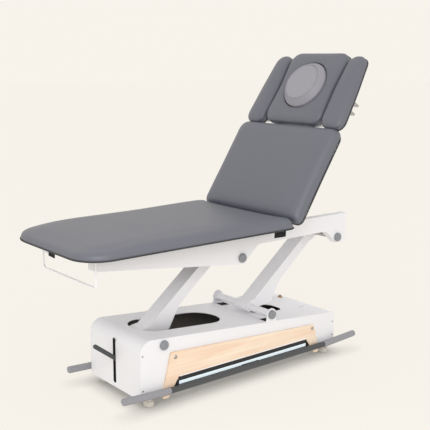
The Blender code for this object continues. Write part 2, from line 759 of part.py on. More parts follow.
def lift_arm(name, pivot, lever, lower_bore):
    """Folded sheet arm, open underneath, with eyes for its lower and upper axles."""
    frame = empty(f"{name}_frame", (pivot[0], 0, pivot[1]), ARM_ANGLE)
    holes = [circle((0, 0), lower_bore), circle((ARM_LENGTH, 0), AXLE_RADIUS + RUN)]
    arm = plate(name, [arm_outline(lever), *holes], ARM_WIDTH, "y", WHITE, frame)
    top = (ARM_TOP_HIGH - ARM_TOP_LOW) / ARM_LENGTH
    start = ARM_TOP_LOW - ARM_WALL - top * ARM_LENGTH
    stop = ARM_TOP_LOW - ARM_WALL + 2 * top * ARM_LENGTH
    deep = -LIFT_LEVER * 2
    inside = [
        (-ARM_LENGTH, deep),
        (2 * ARM_LENGTH, deep),
        (2 * ARM_LENGTH, stop),
        (-ARM_LENGTH, start),
    ]
    cut(arm, plate(f"{name}_inside", [inside], ARM_WIDTH - 2 * ARM_WALL, "y", BLACK, frame))
    return frame, arm


def lift_pin_offset():
    """Driven pin of the front arm in the world, from the front pivot."""
    angle = math.radians(LIFT_LEVER_ANGLE + ARM_ANGLE)
    return LIFT_LEVER * math.cos(angle), LIFT_LEVER * math.sin(angle)


def slotted_fork(name, pin_radius, swing, thickness, material, frame):
    """Plate with an upright slot for a pin that swings past it."""
    half_x = pin_radius + LOOSE
    half_z = swing + pin_radius + LOOSE
    slot = box_outline(-half_x, -half_z, half_x, half_z)
    reach_x = half_x + FORK_MARGIN
    reach_z = half_z + FORK_MARGIN
    outer = box_outline(-reach_x, -reach_z, reach_x, reach_z, FORK_MARGIN / 2)
    return plate(name, [outer, slot], thickness, "y", material, frame), reach_x


def lift_linkage():
    axle("front_axle", empty("front_axle_frame", (FRONT_PIVOT[0], 0, FRONT_PIVOT[1])), BASE_WIDTH)
    axle("rear_axle", empty("rear_axle_frame", (REAR_PIVOT[0], 0, REAR_PIVOT[1])), BASE_WIDTH)
    frame, front = lift_arm("front_lift_arm", FRONT_PIVOT, True, AXLE_RADIUS + RUN)
    angle = math.radians(LIFT_LEVER_ANGLE)
    pin_at = (LIFT_LEVER * math.cos(angle), 0, LIFT_LEVER * math.sin(angle))
    join(front, rod("lift_pin", PIN_RADIUS, ARM_WIDTH - ARM_WALL, "y", STEEL, frame, pin_at))
    bush_radius = AXLE_RADIUS + RUN + BUSH_WALL
    frame, _ = lift_arm("rear_lift_arm", REAR_PIVOT, False, bush_radius + SEAT)
    bore = AXLE_RADIUS + RUN
    end = INNER_Y - RUN
    arm_side = ARM_WIDTH / 2 + SEAT
    half = [
        (COLLAR_RADIUS, end),
        (COLLAR_RADIUS, end - COLLAR_WIDTH),
        (bush_radius, end - COLLAR_WIDTH),
        (bush_radius, arm_side + COLLAR_WIDTH),
        (COLLAR_RADIUS, arm_side + COLLAR_WIDTH),
        (COLLAR_RADIUS, arm_side),
        (bush_radius, arm_side),
    ]
    outer = half + [(r, -h) for r, h in reversed(half)]
    turned("rear_bush_tube", outer + [(bore, -end), (bore, end)], "y", WHITE, frame, ring=True)


def lift_actuator():
    """Motor on the pan, whose rod drives the front arm's pin through a slotted fork."""
    dx, dz = lift_pin_offset()
    swing = LIFT_LEVER * (1 - math.cos(math.radians(LIFT_SWING)))
    rod_z = FRONT_PIVOT_Z - LIFT_LEVER + swing / 2
    frame = empty("lift_rod_frame", (FRONT_PIVOT[0] + dx, 0, rod_z))
    fork, reach = slotted_fork("lift_rod", PIN_RADIUS, swing / 2, FORK_THICKNESS, STEEL, frame)
    start = reach - FORK_MARGIN / 2
    middle = start + LIFT_ROD_LENGTH / 2
    join(fork, rod("lift_rod_bar", LIFT_ROD_RADIUS, LIFT_ROD_LENGTH, "x", STEEL, frame, (middle, 0, 0)))
    bore = LIFT_ROD_RADIUS + SEAT
    tube_end = LIFT_TUBE_FROM_PIN + LIFT_TUBE_LENGTH
    profile = [
        (0, tube_end + MOTOR_LENGTH),
        (MOTOR_RADIUS, tube_end + MOTOR_LENGTH),
        (MOTOR_RADIUS, tube_end),
        (LIFT_TUBE_RADIUS, tube_end),
        (LIFT_TUBE_RADIUS, LIFT_TUBE_FROM_PIN),
        (bore, LIFT_TUBE_FROM_PIN),
        (bore, tube_end),
        (0, tube_end),
    ]
    motor = turned("lift_motor", profile, "x", BLACK, frame)
    half = MOTOR_FOOT_WIDTH / 2
    low = (tube_end + MOTOR_LENGTH * 0.2, -half, PAN_TOP + SEAT - rod_z)
    high = (tube_end + MOTOR_LENGTH * 0.8, half, -MOTOR_RADIUS / 2)
    join(motor, block("lift_motor_foot", low, high, BLACK, frame))


def castor_pedal():
    """Lever out of the foot end, on a pin held by a bracket on the pan."""
    pivot_x = BASE_FOOT_X + PEDAL_PIVOT_IN
    frame = empty("pedal_frame", (pivot_x, 0, PEDAL_PIVOT_Z))
    knee_x, knee_z = PEDAL_KNEE
    tip_x, tip_z = PEDAL_TIP
    points = [(0, 0, 0), (knee_x * 0.5, 0, knee_z * 0.5), (knee_x, 0, knee_z)]
    points += [((knee_x + tip_x) / 2, 0, (knee_z + tip_z) / 2), (tip_x, 0, tip_z)]
    points.append((tip_x - PEDAL_RADIUS * 0.5, 0, tip_z + PEDAL_RADIUS * 0.4))
    radii = [PEDAL_RADIUS] * 4 + [PEDAL_RADIUS * 0.85, PEDAL_RADIUS * 0.4]
    lever = tube("castor_pedal", points, radii, BAR_DARK, frame)
    join(lever, rod("pedal_pin", PEDAL_PIN_RADIUS, PEDAL_PIN_LENGTH, "y", STEEL, frame, sides=16))
    half = BRACKET_LENGTH / 2
    head = 2 * PEDAL_PIN_RADIUS
    outline = [(-half, PAN_TOP + SEAT - PEDAL_PIVOT_Z), (half, PAN_TOP + SEAT - PEDAL_PIVOT_Z)]
    outline += arc((0, 0), head, 0, 180)
    hole = circle((0, 0), PEDAL_PIN_RADIUS + RUN, 16)
    bracket = plate("pedal_bracket", [outline, hole], PEDAL_PIN_LENGTH, "y", STEEL, frame)
    half_gap = PEDAL_PIN_LENGTH / 2 - BRACKET_CHEEK
    low = (-BRACKET_LENGTH, -half_gap, PAN_TOP + SEAT - PEDAL_PIVOT_Z + BRACKET_CHEEK)
    high = (BRACKET_LENGTH, half_gap, 2 * head)
    cut(bracket, block("bracket_gap", low, high, BLACK, frame))


def castors():
    """Two sliding carriers between the side plates, each with a pair of wheels on one axle."""
    wheel_z = CASTOR_RADIUS + CASTOR_LIFT
    half_wheel = CASTOR_WIDTH / 2
    for end, x in castor_places().items():
        frame = empty(f"{end}_castor_frame", (x, 0, wheel_z))
        bar_low = CASTOR_RADIUS + CARRIER_OVER_WHEEL
        half = CARRIER_WIDTH / 2
        outline = [(half, bar_low + CARRIER_BAR), (-half, bar_low + CARRIER_BAR), (-half, 0)]
        outline += arc((0, 0), half, 180, 360)
        hole = circle((0, 0), CASTOR_AXLE_RADIUS + RUN, 16)
        width = 2 * (INNER_Y - RUN)
        carrier = plate(f"{end}_castor_carrier", [outline, hole], width, "y", STEEL, frame)
        inner = CASTOR_Y - half_wheel - RUN
        outer = CASTOR_Y + half_wheel + RUN
        gaps = [
            (-INNER_Y * 2, -outer - CHEEK_THICKNESS),
            (-outer, -inner),
            (-inner + CHEEK_THICKNESS, inner - CHEEK_THICKNESS),
            (inner, outer),
            (outer + CHEEK_THICKNESS, INNER_Y * 2),
        ]
        outlines = [box_outline(-CASTOR_RADIUS * 2, low, CASTOR_RADIUS * 2, high) for low, high in gaps]
        depth = 2 * bar_low
        cut(carrier, plate(f"{end}_castor_gaps", outlines, depth, "z", BLACK, frame))
        end_y = outer + CHEEK_THICKNESS + CASTOR_AXLE_RADIUS
        side = [
            (0, end_y),
            (CASTOR_AXLE_RADIUS, end_y),
            (CASTOR_AXLE_RADIUS, CASTOR_Y + half_wheel),
            (CASTOR_RADIUS, CASTOR_Y + half_wheel),
            (CASTOR_RADIUS, CASTOR_Y - half_wheel),
            (CASTOR_AXLE_RADIUS, CASTOR_Y - half_wheel),
        ]
        turned(f"{end}_castor_wheels", side + [(r, -h) for r, h in reversed(side)], "y", BLACK, frame)


def control_box():
    length, width, height = CONTROL_SIZE
    high_x = BASE_HEAD_X - CONTROL_FROM_HEAD
    low = (high_x - length, -width / 2, PAN_TOP + SEAT)
    block("control_box", low, (high_x, width / 2, PAN_TOP + SEAT + height), BLACK)


def base():
    for word, side in (("near", -1), ("far", 1)):
        side_plate(f"{word}_base_side", side)
        wood_panel(f"{word}_wood_panel", side)
        light_strip(f"{word}_light_strip", side)
        foot_bar(word, side)
        y = side * (SIDE_Y - FOOT_SIDE_INSET)
        levelling_foot(f"{word}_foot_end_foot", BASE_FOOT_X + FOOT_INSET_FOOT, y)
        levelling_foot(f"{word}_head_end_foot", BASE_HEAD_X - FOOT_INSET_HEAD, y)
    base_cover()
    base_pan()
    castor_pedal()
    castors()
    control_box()


def rail(name, side, frame):
    """Side rail of the upper frame: a channel that dips to a chin under each upper pivot."""
    rear = PIVOT_SPACING
    slope = PIVOT_RISE - CHIN
    neck = FRAME_RISE - NECK_DEPTH
    corners = [
        (-RAIL_FOOT, FRAME_RISE, RAIL_TOP_RADIUS),
        (-RAIL_FOOT, FRAME_RISE - RAIL_END_DEPTH, RAIL_END_RADIUS),
        (-CHIN * 0.4, -CHIN, CHIN_FOOT_RADIUS),
        (CHIN * 0.6, -CHIN, CHIN_RADIUS),
        (CHIN * 0.6 + NECK_LENGTH, neck, NECK_FOOT_RADIUS),
        (rear - CHIN * 0.2 - NECK_LENGTH * 0.9, neck, NECK_HEAD_RADIUS),
        (rear - CHIN * 0.2, slope, CHIN_RADIUS),
        (rear + RAIL_HEAD, slope, RAIL_END_RADIUS),
        (rear + RAIL_HEAD + RAIL_HEAD_LEAN, FRAME_RISE, RAIL_TIP_RADIUS),
    ]
    holes = [
        circle((0, 0), AXLE_RADIUS + SEAT),
        circle((rear, PIVOT_RISE), AXLE_RADIUS + SEAT),
        circle(HIP, HINGE_RADIUS + RUN),
    ]
    middle = side * (SIDE_Y - RAIL_DEPTH / 2)
    beam = plate(name, [rounded(corners), *holes], RAIL_DEPTH, "y", WHITE, frame, (0, middle, 0))
    hollow = [(a, b, max(r, RAIL_WALL)) for a, b, r in inset(corners, RAIL_WALL)]
    shift = middle - side * RAIL_WALL
    cut(beam, plate(f"{name}_hollow", [rounded(hollow)], RAIL_DEPTH, "y", BLACK, frame, (0, shift, 0)))


def inset(corners, distance):
    """Corners moved inwards so that each edge shifts by the distance; the outline runs anticlockwise."""
    moved = []
    count = len(corners)
    for k, (a, b, radius) in enumerate(corners):
        before = corners[k - 1]
        after = corners[(k + 1) % count]
        one = math.atan2(b - before[1], a - before[0])
        two = math.atan2(after[1] - b, after[0] - a)
        middle = math.atan2(math.cos(one) + math.cos(two), -math.sin(one) - math.sin(two))
        reach = distance / math.cos(((two - one + math.pi) % (2 * math.pi) - math.pi) / 2)
        moved.append((a + reach * math.cos(middle), b + reach * math.sin(middle), radius))
    return moved


def rounded_pad(a0, a1, half, corner_low, corner_high, low_scale=1.0):
    """Plan outline of a pad: round corners, sides drawn in between them."""
    middle = (a0 + a1) / 2
    corners = [
        (a0, -half * low_scale, corner_low),
        (middle, -half + DRAW_IN, 3 * half),
        (a1, -half, corner_high),
        (a1, half, corner_high),
        (middle, half - DRAW_IN, 3 * half),
        (a0, half * low_scale, corner_low),
    ]
    return rounded(corners)


def cushion(name, outline, low, material, parent, height, shoulder):
    """Crowned pad lofted over a plan outline: tucked foot, short wall, long round shoulder, crown."""
    centre = [sum(p[k] for p in outline) / len(outline) for k in (0, 1)]
    spans = [max(abs(p[k] - centre[k]) for p in outline) for k in (0, 1)]
    wall = PAD_WALL * height
    rings = [(BOARD_INSET / shoulder[2], 0, 0.0), (0, 0, 0.5 * wall), (0, 0, wall)]
    for angle in (20, 40, 60, 75, 90):
        a = math.radians(angle)
        rings.append((1 - math.cos(a), 0, wall + (height - wall) * math.sin(a)))
    rings += [(1, 0.5, height + 0.7 * CROWN), (1, 1, height + CROWN)]

    def drawn(offset, span, reach, near, far):
        """Distance from the pad's middle, drawn in over the shoulder and then towards the crown."""
        inner = reach + far * (0.85 * span - reach)
        return offset * (1 - (near * reach if far == 0 else inner) / span)

    verts = []
    for near, far, rise in rings:
        for a, b in outline:
            end = shoulder[0] if a < centre[0] else shoulder[1]
            x = drawn(a - centre[0], spans[0], end, near, far)
            y = drawn(b - centre[1], spans[1], shoulder[2], near, far)
            verts.append((centre[0] + x, centre[1] + y, low + rise))
    count = len(outline)
    faces = [tuple(reversed(range(count))), tuple(range(len(verts) - count, len(verts)))]
    for ring in range(len(rings) - 1):
        for k in range(count):
            here = ring * count
            after = (k + 1) % count
            faces.append((here + k, here + after, here + count + after, here + count + k))
    mesh = bpy.data.meshes.new(name)
    mesh.from_pydata(verts, [], faces)
    return add(name, mesh, material, parent)


def wire_holder(frame):
    """Bent wire under the foot end that holds a paper roll."""
    x = -RAIL_FOOT + WIRE_IN
    low = DECK - WIRE_DROP
    points = [(x, -WIRE_Y, DECK - SEAT)]
    points += [(x, a, b) for a, b in arc((-WIRE_Y + WIRE_BEND, low + WIRE_BEND), WIRE_BEND, 180, 270, 30)]
    points += [(x, a, b) for a, b in arc((WIRE_Y - WIRE_BEND, low + WIRE_BEND), WIRE_BEND, 270, 360, 30)]
    points.append((x, WIRE_Y, DECK - SEAT))
    tube("paper_roll_wire", points, [WIRE_RADIUS] * len(points), WHITE, frame, 1)


def leg_section(frame):
    foot = -LEG_FOOT
    steep = math.radians(BACK_ANGLE_MAX)
    normal = (math.cos(steep), math.sin(steep))
    reach = BACK_START - LOOSE

    def hip_end(height):
        """Where the leg end stops so that the raised back's end clears it."""
        return HIP[0] + (reach - normal[1] * (height - HIP[1])) / normal[0]

    low = DECK + BOARD + SEAT
    corner = (
        HIP[0] + reach * normal[0] - PAD_TOP * normal[1],
        HIP[1] + reach * normal[1] + PAD_TOP * normal[0],
    )
    face = corner[0] - LOOSE
    board_end = hip_end(DECK + BOARD) - LOOSE
    outline = rounded_pad(
        foot + BOARD_INSET, board_end, HALF_WIDTH - BOARD_INSET, LEG_FOOT_CORNER - BOARD_INSET, LEG_HIP_CORNER
    )
    plate("leg_board", [outline], BOARD, "z", PLY, frame, (0, 0, DECK + BOARD / 2))
    outline = rounded_pad(foot, hip_end(low), HALF_WIDTH, LEG_FOOT_CORNER, LEG_HIP_CORNER)
    pad = cushion("leg_cushion", outline, low, VINYL, frame, CUSHION, LEG_SHOULDER)
    far = HIP[0] + BACK_LENGTH
    top = low + 2 * CUSHION
    notch = [
        (hip_end(low - BOARD), low - BOARD),
        (far, low - BOARD),
        (far, top),
        (face, top),
        (face, corner[1] - LOOSE),
    ]
    cut(pad, plate("leg_end_notch", [notch], 2 * TABLE_WIDTH, "y", BLACK, frame))


def upper_frame():
    frame = empty("upper_frame", (UPPER_PIVOT[0], 0, UPPER_PIVOT[1]))
    for word, side in (("near", -1), ("far", 1)):
        rail(f"{word}_rail", side, frame)
    axle("upper_front_axle", frame, BASE_WIDTH)
    rear = empty("upper_rear_axle_frame", (PIVOT_SPACING, 0, PIVOT_RISE), 0, frame)
    axle("upper_rear_axle", rear, BASE_WIDTH)
    half_y = SIDE_Y - RAIL_WALL - SEAT
    top = FRAME_RISE - RAIL_WALL - SEAT
    foot_x = -RAIL_FOOT + CROSS_FOOT_IN
    low = (foot_x, -half_y, top - CROSS_HEIGHT)
    block("foot_cross_tube", low, (foot_x + CROSS_WIDTH, half_y, top), WHITE, frame)
    head_x = HIP[0] + CROSS_HEAD_BACK
    top = HIP[1] - BAR_EYE_RADIUS - RUN
    low = (head_x, -half_y, top - CROSS_HEIGHT)
    block("head_cross_tube", low, (head_x + CROSS_WIDTH, half_y, top), WHITE, frame)
    wire_holder(frame)
    leg_section(frame)
    return frame


def hinge_bar(name, start, length, height_top, material, frame, at, far_eye=None):
    """Flat bar with an eye at the hinge axis and, where given, one at its far end."""
    eye = BAR_EYE_RADIUS
    outline = arc((start, 0), eye, 90, 270)
    end = start + length
    if far_eye is None:
        outline += [(end, -eye), (end, height_top)]
    else:
        neck = end - BAR_NECK
        outline += arc((end, 0), eye, -90, 90) + [(neck, eye), (neck - eye, height_top)]
    outline += [(start + 2 * eye, height_top)]
    holes = [circle((start, 0), HINGE_RADIUS + SEAT, 16)]
    if far_eye is not None:
        holes.append(circle((end, 0), far_eye, 16))
    return plate(name, [outline, *holes], BACK_BAR_WIDTH, "y", material, frame, at)


def back_section(frame):
    hip = empty("back_frame", (HIP[0], 0, HIP[1]), BACK_ANGLE, frame)
    end = BACK_START + BACK_LENGTH
    outline = rounded_pad(
        BACK_START + BOARD_INSET, end - BOARD_INSET, HALF_WIDTH - BOARD_INSET, BACK_CORNER, BACK_CORNER
    )
    plate("back_board", [outline], BOARD, "z", PLY, hip, (0, 0, BOARD_LOW + BOARD / 2))
    outline = rounded_pad(BACK_START, end, HALF_WIDTH, BACK_CORNER, BACK_CORNER)
    cushion("back_cushion", outline, PAD_LOW, VINYL, hip, BACK_CUSHION, BACK_SHOULDER)
    for word, side in (("near", -1), ("far", 1)):
        place = (0, side * BACK_BAR_Y, 0)
        top = BOARD_LOW - SEAT
        hinge_bar(f"{word}_back_bar", 0, HEAD_AXIS, top, WHITE, hip, place, HINGE_RADIUS + SEAT)
    shaft = rod("back_hinge_shaft", HINGE_RADIUS, BASE_WIDTH, "y", STEEL, hip)
    angle = math.radians(BACK_LEVER_ANGLE)
    pin = (BACK_LEVER * math.cos(angle), BACK_LEVER * math.sin(angle))
    half_gap = BACK_FORK_THICKNESS / 2 + RUN
    wide = 2 * BACK_PIN_RADIUS
    turn = BACK_LEVER_ANGLE
    outline = arc((0, 0), 1.3 * HINGE_RADIUS, turn + 90, turn + 270) + arc(pin, wide, turn - 90, turn + 90)
    for side in (-1, 1):
        middle = side * (half_gap + LEVER_CHEEK / 2)
        join(shaft, plate(f"lever_cheek_{side}", [outline], LEVER_CHEEK, "y", STEEL, hip, (0, middle, 0)))
    pin_length = 2 * (half_gap + LEVER_CHEEK / 2)
    join(shaft, rod("lever_pin", BACK_PIN_RADIUS, pin_length, "y", STEEL, hip, (pin[0], 0, pin[1]), 16))
    back_actuator(frame)
    return hip


def back_actuator(frame):
    """Tube motor at the foot end of the frame, whose rod turns the back's lever."""
    angle = math.radians(BACK_LEVER_ANGLE + BACK_ANGLE)
    swing = BACK_LEVER * (1 - math.cos(math.radians(BACK_SWING)))
    rod_z = HIP[1] - BACK_LEVER + swing / 2
    place = (HIP[0] + BACK_LEVER * math.cos(angle), 0, rod_z)
    slide = empty("back_rod_frame", place, 0, frame)
    fork, reach = slotted_fork("back_rod", BACK_PIN_RADIUS, swing / 2, BACK_FORK_THICKNESS, STEEL, slide)
    start = -reach + FORK_MARGIN / 2
    middle = start - BACK_ROD_LENGTH / 2
    join(fork, rod("back_rod_bar", BACK_ROD_RADIUS, BACK_ROD_LENGTH, "x", STEEL, slide, (middle, 0, 0), 16))
    bore = BACK_ROD_RADIUS + SEAT
    foot_end = -RAIL_FOOT + CROSS_FOOT_IN + CROSS_WIDTH + SEAT - place[0]
    open_end = start - BACK_ROD_LENGTH + BACK_TUBE_LENGTH * 0.6
    bottom = foot_end + BACK_TUBE_RADIUS
    profile = [
        (0, bottom),
        (bore, bottom),
        (bore, open_end),
        (BACK_TUBE_RADIUS, open_end),
        (BACK_TUBE_RADIUS, foot_end),
        (0, foot_end),
    ]
    turned("back_motor", profile, "x", BLACK, slide)


def head_section(hip):
    head = empty("head_frame", (HEAD_AXIS, 0, 0), 0, hip)
    rod("head_hinge_shaft", HINGE_RADIUS, 2 * (ARM_BRACKET_Y + ARM_BRACKET_WIDTH), "y", WHITE, head)
    start = HEAD_START - HEAD_AXIS
    end = start + HEAD_LENGTH
    half = HEAD_WIDTH / 2
    hole_x = FACE_HOLE_AT - HEAD_AXIS
    board = (start + BOARD_INSET, end - BOARD_INSET, half - BOARD_INSET)
    outline = rounded_pad(*board, HEAD_CORNER, HEAD_CORNER)
    hole = circle((hole_x, 0), FACE_HOLE_RADIUS)
    plate("head_board", [outline, hole], BOARD, "z", PLY, head, (0, 0, BOARD_LOW + BOARD / 2))
    outline = rounded_pad(start, end, half, HEAD_CORNER, HEAD_CORNER)
    pad = cushion("head_pad", outline, PAD_LOW, VINYL, head, CUSHION, HEAD_SHOULDER)
    clear = PLUG_RADIUS + PLUG_PLAY
    cut(pad, rod("plug_hole", clear, 4 * CUSHION, "z", BLACK, head, (hole_x, 0, PAD_LOW)))
    for word, side in (("near", -1), ("far", 1)):
        place = (0, side * HEAD_BAR_Y, 0)
        hinge_bar(f"{word}_head_bar", 0, HEAD_BAR_LENGTH, BOARD_LOW - SEAT, WHITE, head, place)
        arm_rest(word, side, head)
    top = CUSHION + CROWN + PLUG_PROUD
    profile = [(0, top), (PLUG_RADIUS - PLUG_ROUND, top)]
    for angle in (30, 60, 90):
        a = math.radians(angle)
        profile.append((PLUG_RADIUS - PLUG_ROUND * (1 - math.sin(a)), top - PLUG_ROUND * (1 - math.cos(a))))
    profile += [(PLUG_RADIUS, 0), (0, 0)]
    turned("face_plug", profile, "z", PALE_VINYL, head, (hole_x, 0, PAD_LOW))


def arm_rest(word, side, head):
    """Arm pad beside the head pad, on a bracket that swings about the head hinge shaft."""
    start = ARM_PAD_START - HEAD_AXIS
    end = start + ARM_PAD_LENGTH
    inner = HEAD_WIDTH / 2 + ARM_PAD_GAP
    corners = [
        (start, inner, ARM_PAD_CORNER),
        (start, ARM_PAD_OUT_LOW, ARM_PAD_CORNER),
        (end, ARM_PAD_OUT_HIGH, ARM_PAD_CORNER),
        (end, inner, ARM_PAD_CORNER * 0.9),
    ]
    if side > 0:
        corners = [(a, b, r) for a, b, r in reversed(corners)]
    outline = rounded([(a, side * b, r) for a, b, r in corners])
    cushion(f"{word}_arm_pad", outline, BOARD_LOW, VINYL, head, CUSHION + BOARD, ARM_SHOULDER)
    top = BOARD_LOW - SEAT
    eye = BAR_EYE_RADIUS
    lever = ARM_LEVER_AT
    half = ARM_LEVER_WIDTH / 2
    outline = arc((0, 0), eye, 90, 270)
    for place in (lever, lever + ARM_LEVER_PITCH):
        outline += [(place - half, -eye), (place - half, -ARM_LEVER_DROP), (place + half, -ARM_LEVER_DROP)]
        outline.append((place + half, -eye))
    outline += [(ARM_BRACKET_LENGTH, -eye), (ARM_BRACKET_LENGTH, top), (2 * eye, top)]
    hole = circle((0, 0), HINGE_RADIUS + RUN, 16)
    place = (0, side * ARM_BRACKET_Y, 0)
    plate(f"{word}_arm_bracket", [outline, hole], ARM_BRACKET_WIDTH, "y", STEEL, head, place)


def main():
    base()
    lift_linkage()
    lift_actuator()
    hip = back_section(upper_frame())
    head_section(hip)


main()
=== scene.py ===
"""Looks of the physiotherapy table: upholstery, finishes, trim and a plain stage round the fixed frame.

Laid out as a Blender add-on and run as a script. Lengths are metres in the frame's own axes: +X to the
head end, -Y to the photographed side, +Z up. Each shape is a grid of points worked out with numpy.
"""

import json
import math

import bmesh
import bpy
import numpy as np
from bpy.props import FloatProperty, FloatVectorProperty, IntProperty, PointerProperty
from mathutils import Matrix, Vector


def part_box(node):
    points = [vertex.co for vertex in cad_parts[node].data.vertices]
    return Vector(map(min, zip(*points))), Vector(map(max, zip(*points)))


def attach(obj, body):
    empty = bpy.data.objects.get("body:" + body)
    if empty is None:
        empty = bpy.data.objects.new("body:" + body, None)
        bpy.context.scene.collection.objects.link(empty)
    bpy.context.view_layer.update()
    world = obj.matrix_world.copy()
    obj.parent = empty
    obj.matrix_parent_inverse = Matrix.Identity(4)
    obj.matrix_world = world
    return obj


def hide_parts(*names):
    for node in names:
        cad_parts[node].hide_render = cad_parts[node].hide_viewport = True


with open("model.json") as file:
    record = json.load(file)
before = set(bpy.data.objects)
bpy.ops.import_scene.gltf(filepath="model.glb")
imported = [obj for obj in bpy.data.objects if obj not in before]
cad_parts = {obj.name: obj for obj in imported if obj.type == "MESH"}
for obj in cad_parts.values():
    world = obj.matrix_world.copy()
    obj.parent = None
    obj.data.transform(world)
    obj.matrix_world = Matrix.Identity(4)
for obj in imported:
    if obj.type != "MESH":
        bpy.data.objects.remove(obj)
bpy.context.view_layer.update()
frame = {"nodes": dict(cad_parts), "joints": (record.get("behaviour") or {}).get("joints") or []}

bl_info = {
    "name": "Physiotherapy table looks",
    "version": (1, 0, 0),
    "blender": (4, 5, 0),
    "location": "View3D > Sidebar > Physio table",
    "description": "Dresses a physiotherapy table's frame with upholstery, finishes and trim",
    "category": "Object",
}


# Places read from the frame


def joint(name):
    return next(entry for entry in frame["joints"] if entry["name"] == name)


def joint_place(name):
    """Position of a joint's axis."""
    return np.array(joint(name)["pos_m"], float)


def read(items, attribute, width, kind=np.float32):
    """One attribute of all vertices, edges or faces of a mesh, a row each."""
    values = np.empty(len(items) * width, kind)
    items.foreach_get(attribute, values)
    return values.reshape(-1, width)


def coordinates(mesh):
    return read(mesh.vertices, "co", 3).astype(float)


def node_points(name):
    return coordinates(frame["nodes"][name].data)


def node_box(name):
    low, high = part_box(name)
    return np.array(low), np.array(high)


class Section:
    """Axes of one section of the table: along its length, across it and out of its surface."""

    def __init__(self, origin, along):
        self.origin = np.asarray(origin, float)
        along = np.asarray(along, float)
        along = along / np.linalg.norm(along)
        out = np.array((-along[2], 0.0, along[0]))
        self.axes = np.stack([along, np.array((0.0, 1.0, 0.0)), out])

    def world(self, points):
        return self.origin + np.asarray(points, float) @ self.axes

    def local(self, points):
        return (np.asarray(points, float) - self.origin) @ self.axes.T

    def box(self, node):
        points = self.local(node_points(node))
        return points.min(0), points.max(0)


HIP = joint_place("back_tilt")
NECK = joint_place("head_tilt")
LEVEL = Section((0, 0, 0), (1, 0, 0))
RAISED = Section(HIP, NECK - HIP)
SIDES = {"near": -1.0, "far": 1.0}


# Sizes and colours that a user may change


def length(name, description, default):
    return FloatProperty(
        name=name, description=description, default=default, min=0.0, unit="LENGTH", precision=4
    )


def colour(name, description, default):
    return FloatVectorProperty(
        name=name, description=description, default=default, min=0.0, max=1.0, size=3, subtype="COLOR"
    )


class TableSizes(bpy.types.PropertyGroup):
    leg_near_corner: length("Leg near corner", "Plan radius of the leg pad's near foot corner", 0.120)
    leg_far_corner: length("Leg far corner", "Plan radius of the leg pad's far foot corner", 0.175)
    leg_hip_corner: length("Leg hip corner", "Plan radius of the leg pad's hip corners", 0.062)
    hip_nose: length("Hip nose", "Extra fullness of the leg pad's hip corners", 0.012)
    foot_nose: length("Foot nose", "Extra fullness of the leg pad's foot end", 0.004)
    foot_in: length("Foot end", "From the frame's cushion in to the cover's foot end", 0.010)
    back_corner: length("Back corner", "Plan radius of the back pad's corners", 0.050)
    head_corner: length("Head corner", "Plan radius of the head pad's corners", 0.055)
    arm_corner: length("Arm corner", "Plan radius of the arm pads' corners", 0.045)
    arm_taper: length("Arm taper", "How much narrower an arm pad is at its upper end", 0.039)
    draw_in: length("Draw-in", "How far the long sides draw in between the corners", 0.002)
    waist: length("Head waist", "How far the head pad's sides draw in, and the arm pads follow", 0.013)
    leg_foot_shoulder: length("Leg foot shoulder", "Run of the soft shoulder at the foot end", 0.330)
    leg_shoulder: length("Leg shoulder", "Run of the leg pad's other shoulders", 0.060)
    back_shoulder: length("Back shoulder", "Run of the back and head pads' shoulders", 0.038)
    arm_side_shoulder: length("Arm side shoulder", "Run of an arm pad's shoulder at its outer side", 0.055)
    arm_inner_shoulder: length("Arm inner shoulder", "Run of an arm pad's shoulder by the head pad", 0.024)
    crown: length("Crown", "Rise of a pad's middle over its shoulders", 0.004)
    swell: length("Swell", "Furthest that the stuffed cover may move", 0.004)
    hem_round: length("Hem round", "Radius of the cover where it turns under its board", 0.004)
    large_cell: length("Large cell", "Mesh size of the leg and back covers", 0.006)
    small_cell: length("Small cell", "Mesh size of the head and arm covers", 0.0045)
    fullness: length("Fullness", "How far the covers reach past their frame's cushions", 0.003)
    # the dark cord is painted shade, standing for the shaded underside of each pad's hem
    shade_cord: length("Piping", "Radius of the dark piping along the pads' lower edges", 0.0030)
    lining_in: length("Lining inset", "From a pad's edge to its stapled lining", 0.030)
    staple_pitch: length("Staple pitch", "Distance between two staples", 0.035)
    plug_seam: length("Plug seam", "Radius of the sewn ring on the face plug", 0.096)
    plug_proud: length("Plug fullness", "How much the face plug stands over its frame's solid", 0.013)
    sheet_round: length("Sheet round", "Rounding of folded sheet edges", 0.0012)
    cabinet_round: length("Cabinet round", "Rounding of the cabinet's outer edges", 0.0040)
    axle_radius: length("Axle radius", "Radius of the lift's axles", 0.0125)
    bar_round: length("Bar round", "Rounding of the foot bars' edges", 0.0009)
    bar_slant: length("Bar slant", "Slant of the joint between a bar and its grip", 0.0030)
    pressure: FloatProperty(name="Pressure", description="Pressure in the covers", default=4.0, min=0.0)
    frames: IntProperty(name="Frames", description="Frames of the cover simulation", default=20, min=2)


